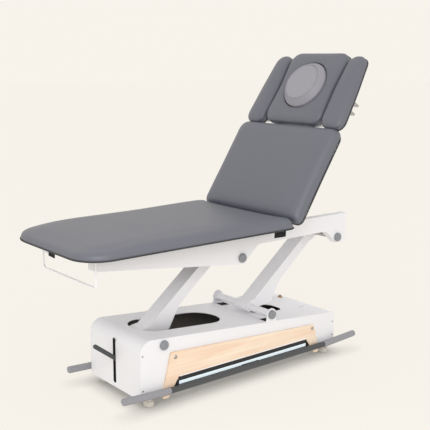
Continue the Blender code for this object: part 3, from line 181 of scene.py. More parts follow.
class TableColours(bpy.types.PropertyGroup):
    vinyl: colour("Vinyl", "Grey upholstery", (0.131, 0.138, 0.169))
    pale_vinyl: colour("Pale vinyl", "Face plug", (0.325, 0.318, 0.355))
    # colour of the dark cord that paints the shade under the pads' hems
    shade_cord: colour("Piping", "Dark edge of the pads", (0.034, 0.035, 0.040))
    lining: colour("Lining", "Felt lining under the boards", (0.160, 0.155, 0.150))
    powder: colour("Powder coat", "White frame", (0.862, 0.858, 0.886))
    # whiter than the powder: on the wire partly its own glossier coat, partly painted highlight against the
    # pads' shade; on the beads over the lights wholly painted highlight
    bright: colour("Bright coat", "Paper roll wire and the beads over the lights", (0.930, 0.925, 0.950))
    cap: colour("Cap plastic", "Axle caps", (0.260, 0.270, 0.295))
    grip: colour("Grip plastic", "Ends of the foot bars", (0.300, 0.300, 0.325))
    bar: colour("Bar coating", "Middles of the foot bars and the pedal", (0.066, 0.069, 0.075))
    birch: colour("Birch", "Wooden side panels", (0.960, 0.755, 0.620))
    # also the colour of the black slabs that paint the shadow in the recess below the light strips
    black: colour("Black plastic", "Light channels, motors and wheels", (0.018, 0.018, 0.020))
    steel: colour("Steel", "Plated brackets, rods and screws", (0.480, 0.470, 0.460))
    rubber: colour("Rubber", "Levelling feet", (0.720, 0.680, 0.620))
    light: colour("Light", "Lens of the light strips", (0.735, 0.830, 0.880))
    brass: colour("Brass", "Small fitting on the cabinet", (0.420, 0.270, 0.150))
    ground: colour("Ground", "Floor and background", (0.930, 0.896, 0.830))


def sizes():
    return bpy.context.scene.table_sizes


def colours():
    return bpy.context.scene.table_colours


# Outlines, profiles and grids


def rounded(corners, radii, steps=8, closed=True):
    """Polyline with each corner turned into an arc: the arc is a rational curve between the two places
    where a circle of the radius touches the corner's sides."""
    corners = np.asarray(corners, float)
    radii = np.broadcast_to(np.asarray(radii, float), len(corners))
    before = np.roll(corners, 1, axis=0) - corners
    after = np.roll(corners, -1, axis=0) - corners
    long_before = np.linalg.norm(before, axis=1)
    long_after = np.linalg.norm(after, axis=1)
    cosine = np.clip((before * after).sum(1) / (long_before * long_after), -1, 1)
    half = np.maximum(np.arccos(cosine) / 2, 1e-4)
    reach = np.minimum(radii / np.tan(half), 0.495 * np.minimum(long_before, long_after))
    start = corners + before * (reach / long_before)[:, None]
    stop = corners + after * (reach / long_after)[:, None]
    t = np.linspace(0, 1, steps)[None, :, None]
    weight = np.sin(half)[:, None, None]
    top = (1 - t) ** 2 * start[:, None] + 2 * t * (1 - t) * weight * corners[:, None] + t**2 * stop[:, None]
    curve = top / ((1 - t) ** 2 + 2 * t * (1 - t) * weight + t**2)
    if closed:
        return curve.reshape(-1, corners.shape[1])
    inner = curve[1:-1].reshape(-1, corners.shape[1])
    return np.concatenate([corners[:1], inner, corners[-1:]])


def even(outline, count, closed=True):
    """Outline read again at equal steps of its length."""
    line = np.concatenate([outline, outline[:1]]) if closed else outline
    walked = np.concatenate([[0], np.cumsum(np.linalg.norm(np.diff(line, axis=0), axis=1))])
    places = np.linspace(0, walked[-1], count, endpoint=not closed)
    return np.stack([np.interp(places, walked, column) for column in line.T], axis=1)


def circle(radius, count, centre=(0, 0)):
    angle = np.linspace(0, 2 * math.pi, count, endpoint=False)
    return np.asarray(centre) + radius * np.stack([np.cos(angle), np.sin(angle)], axis=1)


def smooth(value):
    """Soft step from 0 to 1."""
    t = np.clip(value, 0, 1)
    return t * t * (3 - 2 * t)


def quads(rows, columns, wrap_rows=False):
    """Corner numbers of a grid's faces; the last column joins the first, and so do the rows if asked."""
    index = np.arange(rows * columns).reshape(rows, columns)
    if wrap_rows:
        index = np.concatenate([index, index[:1]])
    after = np.roll(index, -1, axis=1)
    return np.stack([index[:-1], after[:-1], after[1:], index[1:]], axis=-1).reshape(-1, 4)


def turn(profile, centre, axis, sides=64):
    """Rings of a turned shape: each (radius, height) of the profile carried once round the axis."""
    axis = np.asarray(axis, float) / np.linalg.norm(axis)
    helper = np.array((0.0, 0.0, 1.0)) if abs(axis[2]) < 0.9 else np.array((1.0, 0.0, 0.0))
    first = np.cross(helper, axis)
    first /= np.linalg.norm(first)
    second = np.cross(axis, first)
    spoke = circle(1.0, sides) @ np.stack([first, second])
    profile = np.asarray(profile, float)
    rise = profile[:, 1, None, None] * axis
    return np.asarray(centre, float) + rise + profile[:, 0, None, None] * spoke


def sweep(path, section, normal, scale=None):
    """Rings of a profile carried along a flat path: its first axis lies along the path's plane normal."""
    path = np.asarray(path, float)
    tangent = np.gradient(path, axis=0)
    tangent /= np.linalg.norm(tangent, axis=1)[:, None]
    normal = np.asarray(normal, float)
    side = np.cross(tangent, normal)
    scale = np.ones(len(path)) if scale is None else np.asarray(scale, float)
    offset = section[None, :, 0, None] * normal + section[None, :, 1, None] * side[:, None]
    return path[:, None] + offset * scale[:, None, None]


# Pieces

MERGE = 1e-6
SHARP = math.radians(40)
ROUNDED = math.radians(35)
FLAT = math.radians(0.5)


def place(name, mesh, material, body, stands_for=()):
    """New object with its finish, riding on a body of the frame."""
    obj = bpy.data.objects.new(name, mesh)
    bpy.context.scene.collection.objects.link(obj)
    mesh.materials.clear()
    mesh.materials.append(material)
    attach(obj, body)
    if stands_for:
        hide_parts(*stands_for)
    return obj


def closed_mesh(name, points, faces):
    """Mesh of quads with its doubles merged and its faces turned outwards."""
    mesh = bpy.data.meshes.new(name)
    mesh.from_pydata(points.reshape(-1, 3), [], faces.tolist())
    shape = bmesh.new()
    shape.from_mesh(mesh)
    bmesh.ops.remove_doubles(shape, verts=shape.verts, dist=MERGE)
    bmesh.ops.dissolve_degenerate(shape, edges=shape.edges, dist=1e-7)
    bmesh.ops.recalc_face_normals(shape, faces=shape.faces)
    shape.to_mesh(mesh)
    shape.free()
    mesh.shade_smooth()
    mesh.set_sharp_from_angle(angle=SHARP)
    return mesh


def loft(name, rings, wrap_rows=False):
    """Closed mesh over rings of points; open ends run to a pole in their middle."""
    rings = np.asarray(rings, float)
    if not wrap_rows:
        poles = [np.broadcast_to(ring.mean(0), ring.shape)[None] for ring in (rings[0], rings[-1])]
        rings = np.concatenate([poles[0], rings, poles[1]])
    return closed_mesh(name, rings, quads(rings.shape[0], rings.shape[1], wrap_rows))


def many(name, points, faces, places):
    """One mesh of the same small shape at several places; places holds a 4x4 matrix each."""
    points = np.concatenate([points, np.ones((len(points), 1))], axis=1)
    moved = np.einsum("kij,nj->kni", np.asarray(places), points)[..., :3]
    numbers = faces[None] + (np.arange(len(places)) * len(points))[:, None, None]
    return closed_mesh(name, moved, numbers.reshape(-1, faces.shape[1]))


def stance(origin, first, second, third):
    """Matrix whose columns are three axes and an origin."""
    made = np.eye(4)
    made[:3] = np.stack([first, second, third, origin], axis=1)
    return made


def outwards(point, side):
    """Stance on a long side of the table, its third axis away from the middle."""
    return stance(point, (side, 0, 0), (0, 0, 1), (0, side, 0))


def plain_copy(node, split):
    """Mesh of a frame node with its flat faces whole again; split is a plane (point, normal) that divides the
    faces it crosses."""
    shape = bmesh.new()
    shape.from_mesh(frame["nodes"][node].data)
    bmesh.ops.remove_doubles(shape, verts=shape.verts, dist=10 * MERGE)
    bmesh.ops.dissolve_limit(
        shape, angle_limit=FLAT, verts=shape.verts, edges=shape.edges, delimit={"NORMAL"}
    )
    if split is not None:
        cut = [*shape.verts, *shape.edges, *shape.faces]
        bmesh.ops.bisect_plane(shape, geom=cut, dist=MERGE, plane_co=split[0], plane_no=split[1])
    mesh = bpy.data.meshes.new(f"{node}_skin")
    shape.to_mesh(mesh)
    shape.free()
    for extra in ("custom_normal", "sharp_face", "sharp_edge"):
        if extra in mesh.attributes:
            mesh.attributes.remove(mesh.attributes[extra])
    mesh.shade_smooth()
    return mesh


def mark(mesh, name, domain, values):
    layer = mesh.attributes.new(name, "FLOAT", domain)
    layer.data.foreach_set("value", values.astype(np.float32))


def dressed(
    node, material, body, width=None, segments=2, outer=None, outer_width=None, inside=None, split=None
):
    """Copy of a sheet or bar of the frame with its edges rounded. outer picks points whose edges get a wider
    round, inside picks faces, by middle and normal, that get the coat's painted shade of the cabinet's dark
    inside, and split is a plane that divides faces first."""
    width = sizes().sheet_round if width is None else width
    mesh = plain_copy(node, split)
    obj = place(f"{node}_skin", mesh, material, body, [node])
    soften = obj.modifiers.new("rounded edges", "BEVEL")
    soften.segments = segments
    soften.use_clamp_overlap = True
    soften.miter_outer = "MITER_ARC"
    if outer is None:
        soften.width = width
        soften.limit_method = "ANGLE"
        soften.angle_limit = ROUNDED
    else:
        soften.width = outer_width
        soften.limit_method = "WEIGHT"
        ends = read(mesh.edges, "vertices", 2, np.int32)
        chosen = outer(coordinates(mesh))[ends].all(1)
        share = np.where(chosen, 1.0, width / outer_width)
        mark(mesh, "bevel_weight_edge", "EDGE", np.where(edge_turns(mesh) > ROUNDED, share, 0.0))
    # faces picked as inside are painted dark by the coat, as the shade inside the cabinet
    if inside is not None:
        faces = mesh.polygons
        mark(mesh, "inside", "FACE", inside(read(faces, "center", 3), read(faces, "normal", 3)))
    level = obj.modifiers.new("flat faces", "WEIGHTED_NORMAL")
    level.keep_sharp = False
    return obj


def edge_turns(mesh):
    """Angle between the two faces of each edge."""
    shape = bmesh.new()
    shape.from_mesh(mesh)
    turns = np.array([edge.calc_face_angle(0.0) for edge in shape.edges])
    shape.free()
    return turns


# Finishes


def group_nodes(name, fine, default):
    """Shader node group with a place and one fineness going in, and a height and a tone coming out."""
    tree = bpy.data.node_groups.new(name, "ShaderNodeTree")
    tree.interface.new_socket("Vector", in_out="INPUT", socket_type="NodeSocketVector")
    knob = tree.interface.new_socket(fine, in_out="INPUT", socket_type="NodeSocketFloat")
    knob.default_value = default
    for label in ("Height", "Tone"):
        tree.interface.new_socket(label, in_out="OUTPUT", socket_type="NodeSocketFloat")
    start = tree.nodes.new("NodeGroupInput")
    return tree, start.outputs["Vector"], start.outputs[fine]


def group_outputs(tree, height, tone):
    stop = tree.nodes.new("NodeGroupOutput")
    tree.links.new(height, stop.inputs["Height"])
    tree.links.new(tone, stop.inputs["Tone"])
    return tree


def noise(tree, vector, scale, detail=2.0, roughness=0.5):
    node = tree.nodes.new("ShaderNodeTexNoise")
    node.inputs["Detail"].default_value = detail
    node.inputs["Roughness"].default_value = roughness
    tree.links.new(vector, node.inputs["Vector"])
    wire(tree, scale, node.inputs["Scale"])
    return node.outputs["Fac"]


def wire(tree, value, socket):
    """Links a socket, or sets a plain number."""
    if isinstance(value, bpy.types.NodeSocket):
        tree.links.new(value, socket)
    else:
        socket.default_value = value


def maths(tree, operation, first, second=0.5, third=0.0):
    node = tree.nodes.new("ShaderNodeMath")
    node.operation = operation
    for value, socket in zip((first, second, third), node.inputs):
        wire(tree, value, socket)
    return node.outputs[0]


def stretched(tree, vector, scale):
    node = tree.nodes.new("ShaderNodeMapping")
    node.inputs["Scale"].default_value = scale
    tree.links.new(vector, node.inputs["Vector"])
    return node.outputs["Vector"]


def blend(tree, first, share, second):
    """Share of the first value and the rest of the second."""
    return maths(tree, "MULTIPLY_ADD", first, share, maths(tree, "MULTIPLY", second, 1 - share))


def grain_group():
    """Pebbled vinyl: soft cells with finer creases, and a slow change of tone."""
    tree, vector, fine = group_nodes("pebble_grain", "Cells", 700.0)
    bent = tree.nodes.new("ShaderNodeVectorMath")
    bent.operation = "MULTIPLY_ADD"
    tree.links.new(noise(tree, vector, 160.0, 3.0), bent.inputs[0])
    bent.inputs[1].default_value = (0.0016, 0.0016, 0.0016)
    tree.links.new(vector, bent.inputs[2])
    cells = tree.nodes.new("ShaderNodeTexVoronoi")
    cells.feature = "SMOOTH_F1"
    cells.inputs["Smoothness"].default_value = 0.35
    tree.links.new(bent.outputs[0], cells.inputs["Vector"])
    tree.links.new(fine, cells.inputs["Scale"])
    dome = maths(tree, "SUBTRACT", 1.0, cells.outputs["Distance"])
    crease = noise(tree, vector, maths(tree, "MULTIPLY", fine, 2.6), 3.0, 0.6)
    height = maths(tree, "MULTIPLY_ADD", crease, 0.35, dome)
    slow = noise(tree, vector, 4.0, 3.0, 0.55)
    speck = noise(tree, vector, 260.0, 2.0)
    return group_outputs(tree, height, blend(tree, speck, 0.35, slow))


def peel_group():
    """Sprayed and baked coat, or moulded plastic: a low ripple, and faint dusting and handling marks."""
    tree, vector, fine = group_nodes("orange_peel", "Ripple", 420.0)
    ripple = noise(tree, vector, fine, 2.0, 0.45)
    speck = noise(tree, vector, maths(tree, "MULTIPLY", fine, 3.1), 1.0)
    height = maths(tree, "MULTIPLY_ADD", speck, 0.3, ripple)
    slow = noise(tree, vector, 3.2, 4.0, 0.6)
    rubs = noise(tree, stretched(tree, vector, (9.0, 40.0, 40.0)), 1.0, 4.0, 0.65)
    return group_outputs(tree, height, blend(tree, rubs, 0.4, slow))


def brush_group():
    """Drawn or brushed metal: fine lines along X over a slow change of tone."""
    tree, vector, fine = group_nodes("drawn_lines", "Lines", 900.0)
    lines = noise(tree, stretched(tree, vector, (0.02, 1.0, 1.0)), fine, 2.0, 0.6)
    slow = noise(tree, vector, 12.0, 3.0)
    return group_outputs(tree, lines, blend(tree, slow, 0.6, lines))


def wood_group():
    """Birch: long wavering growth lines with fine pores, drawn out along X."""
    tree, vector, fine = group_nodes("birch_figure", "Rings", 26.0)
    flow = noise(tree, stretched(tree, vector, (1.1, 5.0, 6.5)), 1.0, 3.0, 0.5)
    rings = maths(tree, "SINE", maths(tree, "MULTIPLY", flow, fine))
    pores = noise(tree, stretched(tree, vector, (14.0, 420.0, 420.0)), 1.0, 3.0, 0.6)
    fleck = noise(tree, stretched(tree, vector, (2.2, 60.0, 95.0)), 1.0, 3.0, 0.6)
    soft = maths(tree, "MULTIPLY_ADD", rings, 0.14, maths(tree, "MULTIPLY_ADD", fleck, 1.1, -0.25))
    tone = maths(tree, "MULTIPLY_ADD", pores, 0.28, soft)
    return group_outputs(tree, pores, maths(tree, "MAXIMUM", tone, 0.0))


GROUPS = {"grain": grain_group, "peel": peel_group, "brush": brush_group, "wood": wood_group}


def group(kind):
    made = bpy.data.node_groups.get(f"made_{kind}")
    if made is None:
        made = GROUPS[kind]()
        made.name = f"made_{kind}"
    return made


def finish(name, kind, tint, rough, contrast, bump, depth=0.0002, spread=0.10, fine=None, **plain):
    """Principled material: tone changes the colour by the contrast and the roughness by the spread, and
    height feeds a bump. The other values are set on the shader's inputs of those names."""
    found = bpy.data.materials.get(name)
    if found:
        return found
    material = bpy.data.materials.new(name)
    material.use_nodes = True
    tree = material.node_tree
    shader = tree.nodes["Principled BSDF"]
    for label, value in plain.items():
        shader.inputs[label.replace("_", " ")].default_value = value
    material.diffuse_color = (*tint, 1.0)
    place_node = tree.nodes.new("ShaderNodeTexCoord")
    effect = tree.nodes.new("ShaderNodeGroup")
    effect.node_tree = group(kind)
    tree.links.new(place_node.outputs["Object"], effect.inputs["Vector"])
    if fine is not None:
        effect.inputs[1].default_value = fine
    shade = tree.nodes.new("ShaderNodeMix")
    shade.data_type = "RGBA"
    dark = [c * (1 - contrast) for c in tint]
    pale = [min(1.0, c * (1 + contrast)) for c in tint]
    shade.inputs[6].default_value = (*dark, 1.0)
    shade.inputs[7].default_value = (*pale, 1.0)
    tree.links.new(effect.outputs["Tone"], shade.inputs[0])
    tree.links.new(shade.outputs[2], shader.inputs["Base Color"])
    gloss = maths(tree, "MULTIPLY_ADD", effect.outputs["Tone"], spread, rough - spread / 2)
    tree.links.new(gloss, shader.inputs["Roughness"])
    relief = tree.nodes.new("ShaderNodeBump")
    relief.inputs["Strength"].default_value = bump
    relief.inputs["Distance"].default_value = depth
    tree.links.new(effect.outputs["Height"], relief.inputs["Height"])
    tree.links.new(relief.outputs["Normal"], shader.inputs["Normal"])
    return material


def overlaid(material, factor, tint):
    """Lays a second colour over a material's own, by a factor that changes from place to place."""
    tree = material.node_tree
    base = tree.nodes["Principled BSDF"].inputs["Base Color"]
    mix = tree.nodes.new("ShaderNodeMix")
    mix.data_type = "RGBA"
    mix.inputs[7].default_value = (*tint, 1.0)
    tree.links.new(base.links[0].from_socket, mix.inputs[6])
    tree.links.new(factor, mix.inputs[0])
    tree.links.new(mix.outputs[2], base)


def vinyl():
    tint = colours().vinyl
    return finish(
        "grey_vinyl_cover", "grain", tint, rough=0.47, contrast=0.05, bump=0.20, depth=0.0003,
        Specular_IOR_Level=0.75
    )


def pale_vinyl():
    tint = colours().pale_vinyl
    return finish("pale_vinyl_cover", "grain", tint, rough=0.48, contrast=0.04, bump=0.20, depth=0.0003)


# dark vinyl of the cord that paints the shade under the pads' hems
def shade_cord_vinyl():
    tint = colours().shade_cord
    return finish("painted_shade_cord", "grain", tint, rough=0.52, contrast=0.08, bump=0.20, fine=1200.0)


def lining_cloth():
    tint = colours().lining
    return finish(
        "felt_lining", "grain", tint, rough=0.92, contrast=0.15, bump=0.35, depth=0.0003, spread=0.05,
        fine=1600.0
    )


def tag_cloth():
    tint = colours().black
    return finish(
        "woven_tag", "grain", tint, rough=0.80, contrast=0.25, bump=0.35, depth=0.0003, fine=1600.0,
        Specular_IOR_Level=0.15
    )


def powder():
    """White coat; faces marked as inside get a dark tint, painted shade of the cabinet's inside."""
    name = "white_powder_and_painted_shade"
    # dark tint painted on inward faces as the shade inside the cabinet and its holes
    inside_shade = (0.190, 0.172, 0.158)
    found = bpy.data.materials.get(name)
    if found:
        return found
    material = finish(name, "peel", colours().powder, rough=0.46, contrast=0.018, bump=0.10, spread=0.08)
    inside = material.node_tree.nodes.new("ShaderNodeAttribute")
    inside.attribute_name = "inside"
    overlaid(material, inside.outputs["Fac"], inside_shade)
    return material


# whiter, glossier coat: partly the wire's own, partly painted highlight for parts in shade
def white_coat_and_highlight():
    tint = colours().bright
    return finish("white_coat_and_painted_highlight", "peel", tint, rough=0.34, contrast=0.015, bump=0.08, spread=0.06)


def cap_plastic():
    return finish("cap_plastic", "peel", colours().cap, rough=0.48, contrast=0.06, bump=0.12, fine=900.0)


def grip_plastic():
    return finish("grip_plastic", "peel", colours().grip, rough=0.50, contrast=0.05, bump=0.16, fine=1100.0)


def bar_coat():
    return finish("dark_bar_coat", "brush", colours().bar, rough=0.44, contrast=0.10, bump=0.10, spread=0.12)


# black moulded plastic, also used for the slabs of painted shadow below the light strips
def black_moulding_and_shadow():
    tint = colours().black
    return finish(
        "black_moulding_and_painted_shadow", "peel", tint, rough=0.55, contrast=0.20, bump=0.15, spread=0.12, fine=1000.0
    )


def steel():
    tint = colours().steel
    return finish(
        "plated_steel", "brush", tint, rough=0.36, contrast=0.12, bump=0.10, spread=0.16, Metallic=1.0
    )


def rubber():
    tint = colours().rubber
    return finish("foot_rubber", "peel", tint, rough=0.70, contrast=0.05, bump=0.25, depth=0.0003, fine=700.0)


def brass():
    tint = colours().brass
    return finish(
        "brass_fitting", "brush", tint, rough=0.40, contrast=0.15, bump=0.12, spread=0.15, Metallic=0.6
    )


def birch():
    """Lacquered birch ply: figure on the faces, thin plies on the edges."""
    name = "birch_ply"
    ply = 0.0026
    glue = (0.42, 0.26, 0.13)
    found = bpy.data.materials.get(name)
    if found:
        return found
    tint = colours().birch
    material = finish(name, "wood", tint, rough=0.42, contrast=0.20, bump=0.06, Coat_Weight=0.15)
    tree = material.node_tree
    shade = tree.nodes["Principled BSDF"].inputs["Base Color"].links[0].from_node
    deep = np.array(tint) * (0.92, 0.80, 0.69)
    shade.inputs[6].default_value = (*deep, 1.0)
    geometry = tree.nodes.new("ShaderNodeNewGeometry")
    facing_way = tree.nodes.new("ShaderNodeSeparateXYZ")
    tree.links.new(geometry.outputs["True Normal"], facing_way.inputs[0])
    edge = maths(tree, "LESS_THAN", maths(tree, "ABSOLUTE", facing_way.outputs["Y"]), 0.4)
    spot = tree.nodes.new("ShaderNodeSeparateXYZ")
    place_node = next(node for node in tree.nodes if node.type == "TEX_COORD")
    tree.links.new(place_node.outputs["Object"], spot.inputs[0])
    plies = maths(tree, "SINE", maths(tree, "MULTIPLY", spot.outputs["Y"], 2 * math.pi / ply))
    layer = maths(tree, "MULTIPLY_ADD", plies, 0.16, 0.16)
    overlaid(material, maths(tree, "MULTIPLY", edge, layer), glue)
    return material


def light_lens():
    tint = colours().light
    material = finish("light_lens", "peel", tint, rough=0.30, contrast=0.02, bump=0.04, spread=0.05)
    shader = material.node_tree.nodes["Principled BSDF"]
    shader.inputs["Emission Color"].default_value = (*tint, 1.0)
    shader.inputs["Emission Strength"].default_value = 0.35
    return material


# Upholstery

CALM = 40
FADE = 6
# height of the cord of painted shade over a pad's underside, in its radii
SHADE_CORD_UP = 1.1


def pad_outline(start, stop, half, radii, waist):
    """Plan of a pad: four rounded corners (start near, stop near, stop far, start far) and long sides that
    draw in by the waist between them."""
    middle = (start + stop) / 2
    slim = half - waist
    corners = [(start, -half), (middle, -slim), (stop, -half), (stop, half), (middle, slim), (start, half)]
    first, second, third, fourth = radii
    return rounded(corners, [first, 3 * half, second, third, 3 * half, fourth])


def pad_rings(outline, low, board, height, shoulders, count, upright=0.2):
    """Rings of a padded cover, from the middle of its underside to its crown. Under the board it is flat, it
    turns up round the hem, and over the board's edge a quarter ellipse leads to the top, which then rises to
    the crown. A ring is the outline drawn to its middle, by a share of the shoulder's run at each side."""
    size = sizes()
    outline = even(outline, count)
    centre = (outline.min(0) + outline.max(0)) / 2
    span = (outline.max(0) - outline.min(0)) / 2
    under = np.array([0.25, 0.5, 0.75, 0.93])
    hem = np.radians(np.linspace(-90, 0, 5))
    wall = board + upright * (height - board)
    sides = np.array([0.6 * board, wall])
    over = np.radians(np.linspace(8, 90, 11))
    rise = np.linspace(0.1, 1, 7)
    crown = size.crown * (1 - (1 - rise) ** 2)
    # each stretch: share of the shoulder, inwards at the hem, share of the way to the middle, height
    stretches = [
        (0 * under, 0 * under, 1 - under, 0 * under),
        (0 * hem, size.hem_round * (1 - np.cos(hem)), 0 * hem, size.hem_round * (1 + np.sin(hem))),
        (0 * sides, 0 * sides, 0 * sides, sides),
        (1 - np.cos(over), 0 * over, 0 * over, wall + (height - wall) * np.sin(over)),
        (np.ones(len(rise)), 0 * rise, 0.85 * rise, height + crown),
    ]
    shoulder, inwards, towards, up = np.concatenate([np.stack(rows) for rows in stretches], axis=1)
    offset = outline - centre
    ends, flanks = np.reshape(shoulders, (2, 2))
    run = np.stack([np.where(offset[:, 0] < 0, *ends), np.where(offset[:, 1] < 0, *flanks)], axis=1)
    inner = shoulder[:, None, None] * run[None] + inwards[:, None, None]
    inner = inner + towards[:, None, None] * (span - inner)
    plan = centre + offset[None] * (1 - inner / span)
    return np.concatenate([plan, np.broadcast_to((low + up)[:, None, None], (*plan.shape[:2], 1))], axis=2)


def remeshed(name, mesh, cell):
    """Mesh of even cells over the same form."""
    source = bpy.data.objects.new(f"{name}_form", mesh)
    bpy.context.scene.collection.objects.link(source)
    cells = source.modifiers.new("even cells", "REMESH")
    cells.mode = "VOXEL"
    cells.voxel_size = cell
    cells.use_smooth_shade = True
    made = bpy.data.meshes.new_from_object(source.evaluated_get(bpy.context.evaluated_depsgraph_get()))
    bpy.data.objects.remove(source)
    made.name = name
    return made


def stuff(pads):
    """Simulates all covers at once: pressure swells each one from the points that its board holds, and the
    movement is capped before it is kept. pads holds (object, held points) pairs."""
    scene = bpy.context.scene
    size = sizes()
    for obj, held in pads:
        staples = obj.vertex_groups.new(name="held")
        staples.add(np.flatnonzero(held).tolist(), 1.0, "REPLACE")
        cloth = obj.modifiers.new("cover", "CLOTH")
        cloth.settings.vertex_group_mass = "held"
        cloth.settings.use_pressure = True
        cloth.settings.uniform_pressure_force = size.pressure
        cloth.settings.effector_weights.gravity = 0.0
        cloth.point_cache.frame_start = 1
        cloth.point_cache.frame_end = size.frames
    for number in range(1, size.frames + 1):
        scene.frame_set(number)
    graph = bpy.context.evaluated_depsgraph_get()
    swollen = [coordinates(obj.evaluated_get(graph).data) for obj, _ in pads]
    for (obj, held), after in zip(pads, swollen):
        before = coordinates(obj.data)
        obj.modifiers.remove(obj.modifiers["cover"])
        obj.vertex_groups.clear()
        free = averaged(obj.data, 1.0 - held[:, None], FADE)
        moved = averaged(obj.data, after - before, CALM) * free
        far = np.linalg.norm(moved, axis=1)
        keep = size.swell * np.tanh(far / size.swell) / np.maximum(far, 1e-9)
        moulded(obj.data, before + moved * keep[:, None])
    scene.frame_set(1)


def averaged(mesh, values, times):
    """Each point's values drawn half way to the mean of its neighbours', several times over."""
    ends = read(mesh.edges, "vertices", 2, np.int32)
    here = np.concatenate([ends[:, 0], ends[:, 1]])
    there = np.concatenate([ends[:, 1], ends[:, 0]])
    count = np.bincount(here, minlength=len(values))
    for _ in range(times):
        total = [np.bincount(here, column[there], len(values)) / count for column in values.T]
        values = (values + np.stack(total, axis=1)) / 2
    return values


def moulded(mesh, points):
    """Puts points back into a mesh."""
    mesh.vertices.foreach_set("co", points.astype(np.float32).ravel())
    mesh.update()


def one_subdivision(obj):
    finer = obj.modifiers.new("finer", "SUBSURF")
    finer.levels = 1
    finer.render_levels = 1


def shade_cord_rings(outline, level):
    """Round cord along a closed outline: each outline point carries a circle across its own direction."""
    radius = sizes().shade_cord
    path = even(outline, 360)
    tangent = np.roll(path, -1, axis=0) - np.roll(path, 1, axis=0)
    tangent /= np.linalg.norm(tangent, axis=1)[:, None]
    outward = np.stack([tangent[:, 1], -tangent[:, 0]], axis=1)
    middle = path.mean(0)
    outward *= np.sign(((path - middle) * outward).sum())
    ring = circle(radius, 12)
    plan = path[:, None] + outward[:, None] * (ring[None, :, :1] - 0.2 * radius)
    return np.concatenate([plan, np.broadcast_to(level + ring[None, :, 1:], (*plan.shape[:2], 1))], axis=2)


def cut_round(mesh, hole):
    """Cuts a round hole of (centre, axis, radius) right through a closed mesh."""
    centre, axis, radius = hole
    profile = [(radius, -0.05), (radius, 0.12)]
    cutter = bpy.data.objects.new("round_cutter", loft("round_cutter", turn(profile, centre, axis, 96)))
    source = bpy.data.objects.new("cut_form", mesh)
    for obj in (cutter, source):
        bpy.context.scene.collection.objects.link(obj)
    away = source.modifiers.new("hole", "BOOLEAN")
    away.operation = "DIFFERENCE"
    away.object = cutter
    made = bpy.data.meshes.new_from_object(source.evaluated_get(bpy.context.evaluated_depsgraph_get()))
    for obj in (cutter, source):
        bpy.data.objects.remove(obj)
    return made


def cover(name, rings, section, cell, body, nodes, held, edge, low, hole=None):
    """Cover in even cells over the rings, with a dark cord of painted shade along its lower edge: the object,
    and the points that its board holds."""
    mesh = loft(name, section.world(rings))
    if hole is not None:
        mesh = cut_round(mesh, hole)
    mesh = remeshed(name, mesh, cell)
    moulded(mesh, averaged(mesh, coordinates(mesh), 1))
    obj = place(name, mesh, vinyl(), body, nodes)
    # dark cord along the lower edge, as painted shade under the hem
    cord = shade_cord_rings(edge, low + SHADE_CORD_UP * sizes().shade_cord)
    welt = loft(f"{name}_piping", section.world(cord), wrap_rows=True)
    place(f"{name}_piping", welt, shade_cord_vinyl(), body)
    return obj, held(section.local(coordinates(mesh)))


def pad_height(top, under):
    """Height of a pad's shoulders over its underside, before it is stuffed."""
    return top - sizes().crown - under - sizes().swell / 3


def raised_board():
    """Underside and thickness of the board under the raised sections."""
    under = RAISED.box("back_board")[0][2]
    return under, RAISED.box("back_cushion")[0][2] - under


def leg_radii():
    size = sizes()
    return size.leg_near_corner, size.leg_hip_corner, size.leg_hip_corner, size.leg_far_corner


def leg_pad():
    """Leg cover: its hip end leans away from the raised back, least at the two corners, and the hip corners
    and the foot end are fuller half way up."""
    size = sizes()
    hip_run = 0.25
    side_run = 0.10
    corner_in = 0.13
    foot_in = 0.16
    foot_run = 0.14
    hip_held = 0.012
    low, high = LEVEL.box("leg_board")
    points = node_points("leg_cushion")
    lower = points[:, 2].min()
    top = points[:, 2].max() - size.crown
    middle = (lower + top) / 2
    hip_top = points[points[:, 2] > middle, 0].max()
    foot = points[:, 0].min() + size.foot_in
    half = points[:, 1].max() + 0.5 * size.fullness
    stop = high[0] - 0.002
    outline = pad_outline(foot, stop, half, leg_radii(), size.draw_in)
    run = size.leg_shoulder
    board = lower - low[2]
    height = pad_height(points[:, 2].max(), low[2])
    rings = pad_rings(outline, low[2], board, height, (size.leg_foot_shoulder, 0.4 * run, run, run), 300)
    x, y, z = np.moveaxis(rings, 2, 0)
    past = np.abs(y) - half
    lean = smooth((z - low[2]) / (middle - low[2]) * 0.8 + 0.1) * (stop - hip_top)
    lean = lean * (1 - 0.7 * smooth((past + side_run) / side_run))
    x -= smooth((x - (stop - hip_run)) / hip_run) * lean
    corner = smooth((x - stop + corner_in) / side_run) * smooth((past + corner_in) / side_run)
    share = np.clip((z - low[2]) / (top - low[2]), 0, 1)
    blunt = size.hip_nose * corner + size.foot_nose * smooth((foot + foot_in - x) / foot_run)
    z += blunt * 4 * share * (1 - share)

    def held(p):
        return (p[:, 2] < low[2] + board) | (p[:, 0] > hip_top - hip_held)

    nodes = ["leg_cushion", "leg_board"]
    return cover("leg_upholstery", rings, LEVEL, size.large_cell, "upper_frame", nodes, held, outline, low[2])


def back_pad():
    """Back cover; its dark cord of painted shade ends inside it at the head end, clear of the arm pads."""
    size = sizes()
    full = size.fullness
    low, high = RAISED.box("back_cushion")
    under, board = raised_board()
    start = low[0] - full
    half = high[1] + 0.7 * full
    radii = size.back_corner * np.array((0.55, 1.0, 1.0, 0.55))
    outline = pad_outline(start, high[0] + 2 * full, half, radii, size.draw_in)
    edge = pad_outline(start, high[0] - 2 * full, half, radii, size.draw_in)
    rings = pad_rings(outline, under, board, pad_height(high[2], under), [size.back_shoulder] * 4, 240)

    def held(p):
        return p[:, 2] < under + board

    nodes = ["back_cushion", "back_board"]
    return cover("back_upholstery", rings, RAISED, size.large_cell, "back", nodes, held, edge, under)


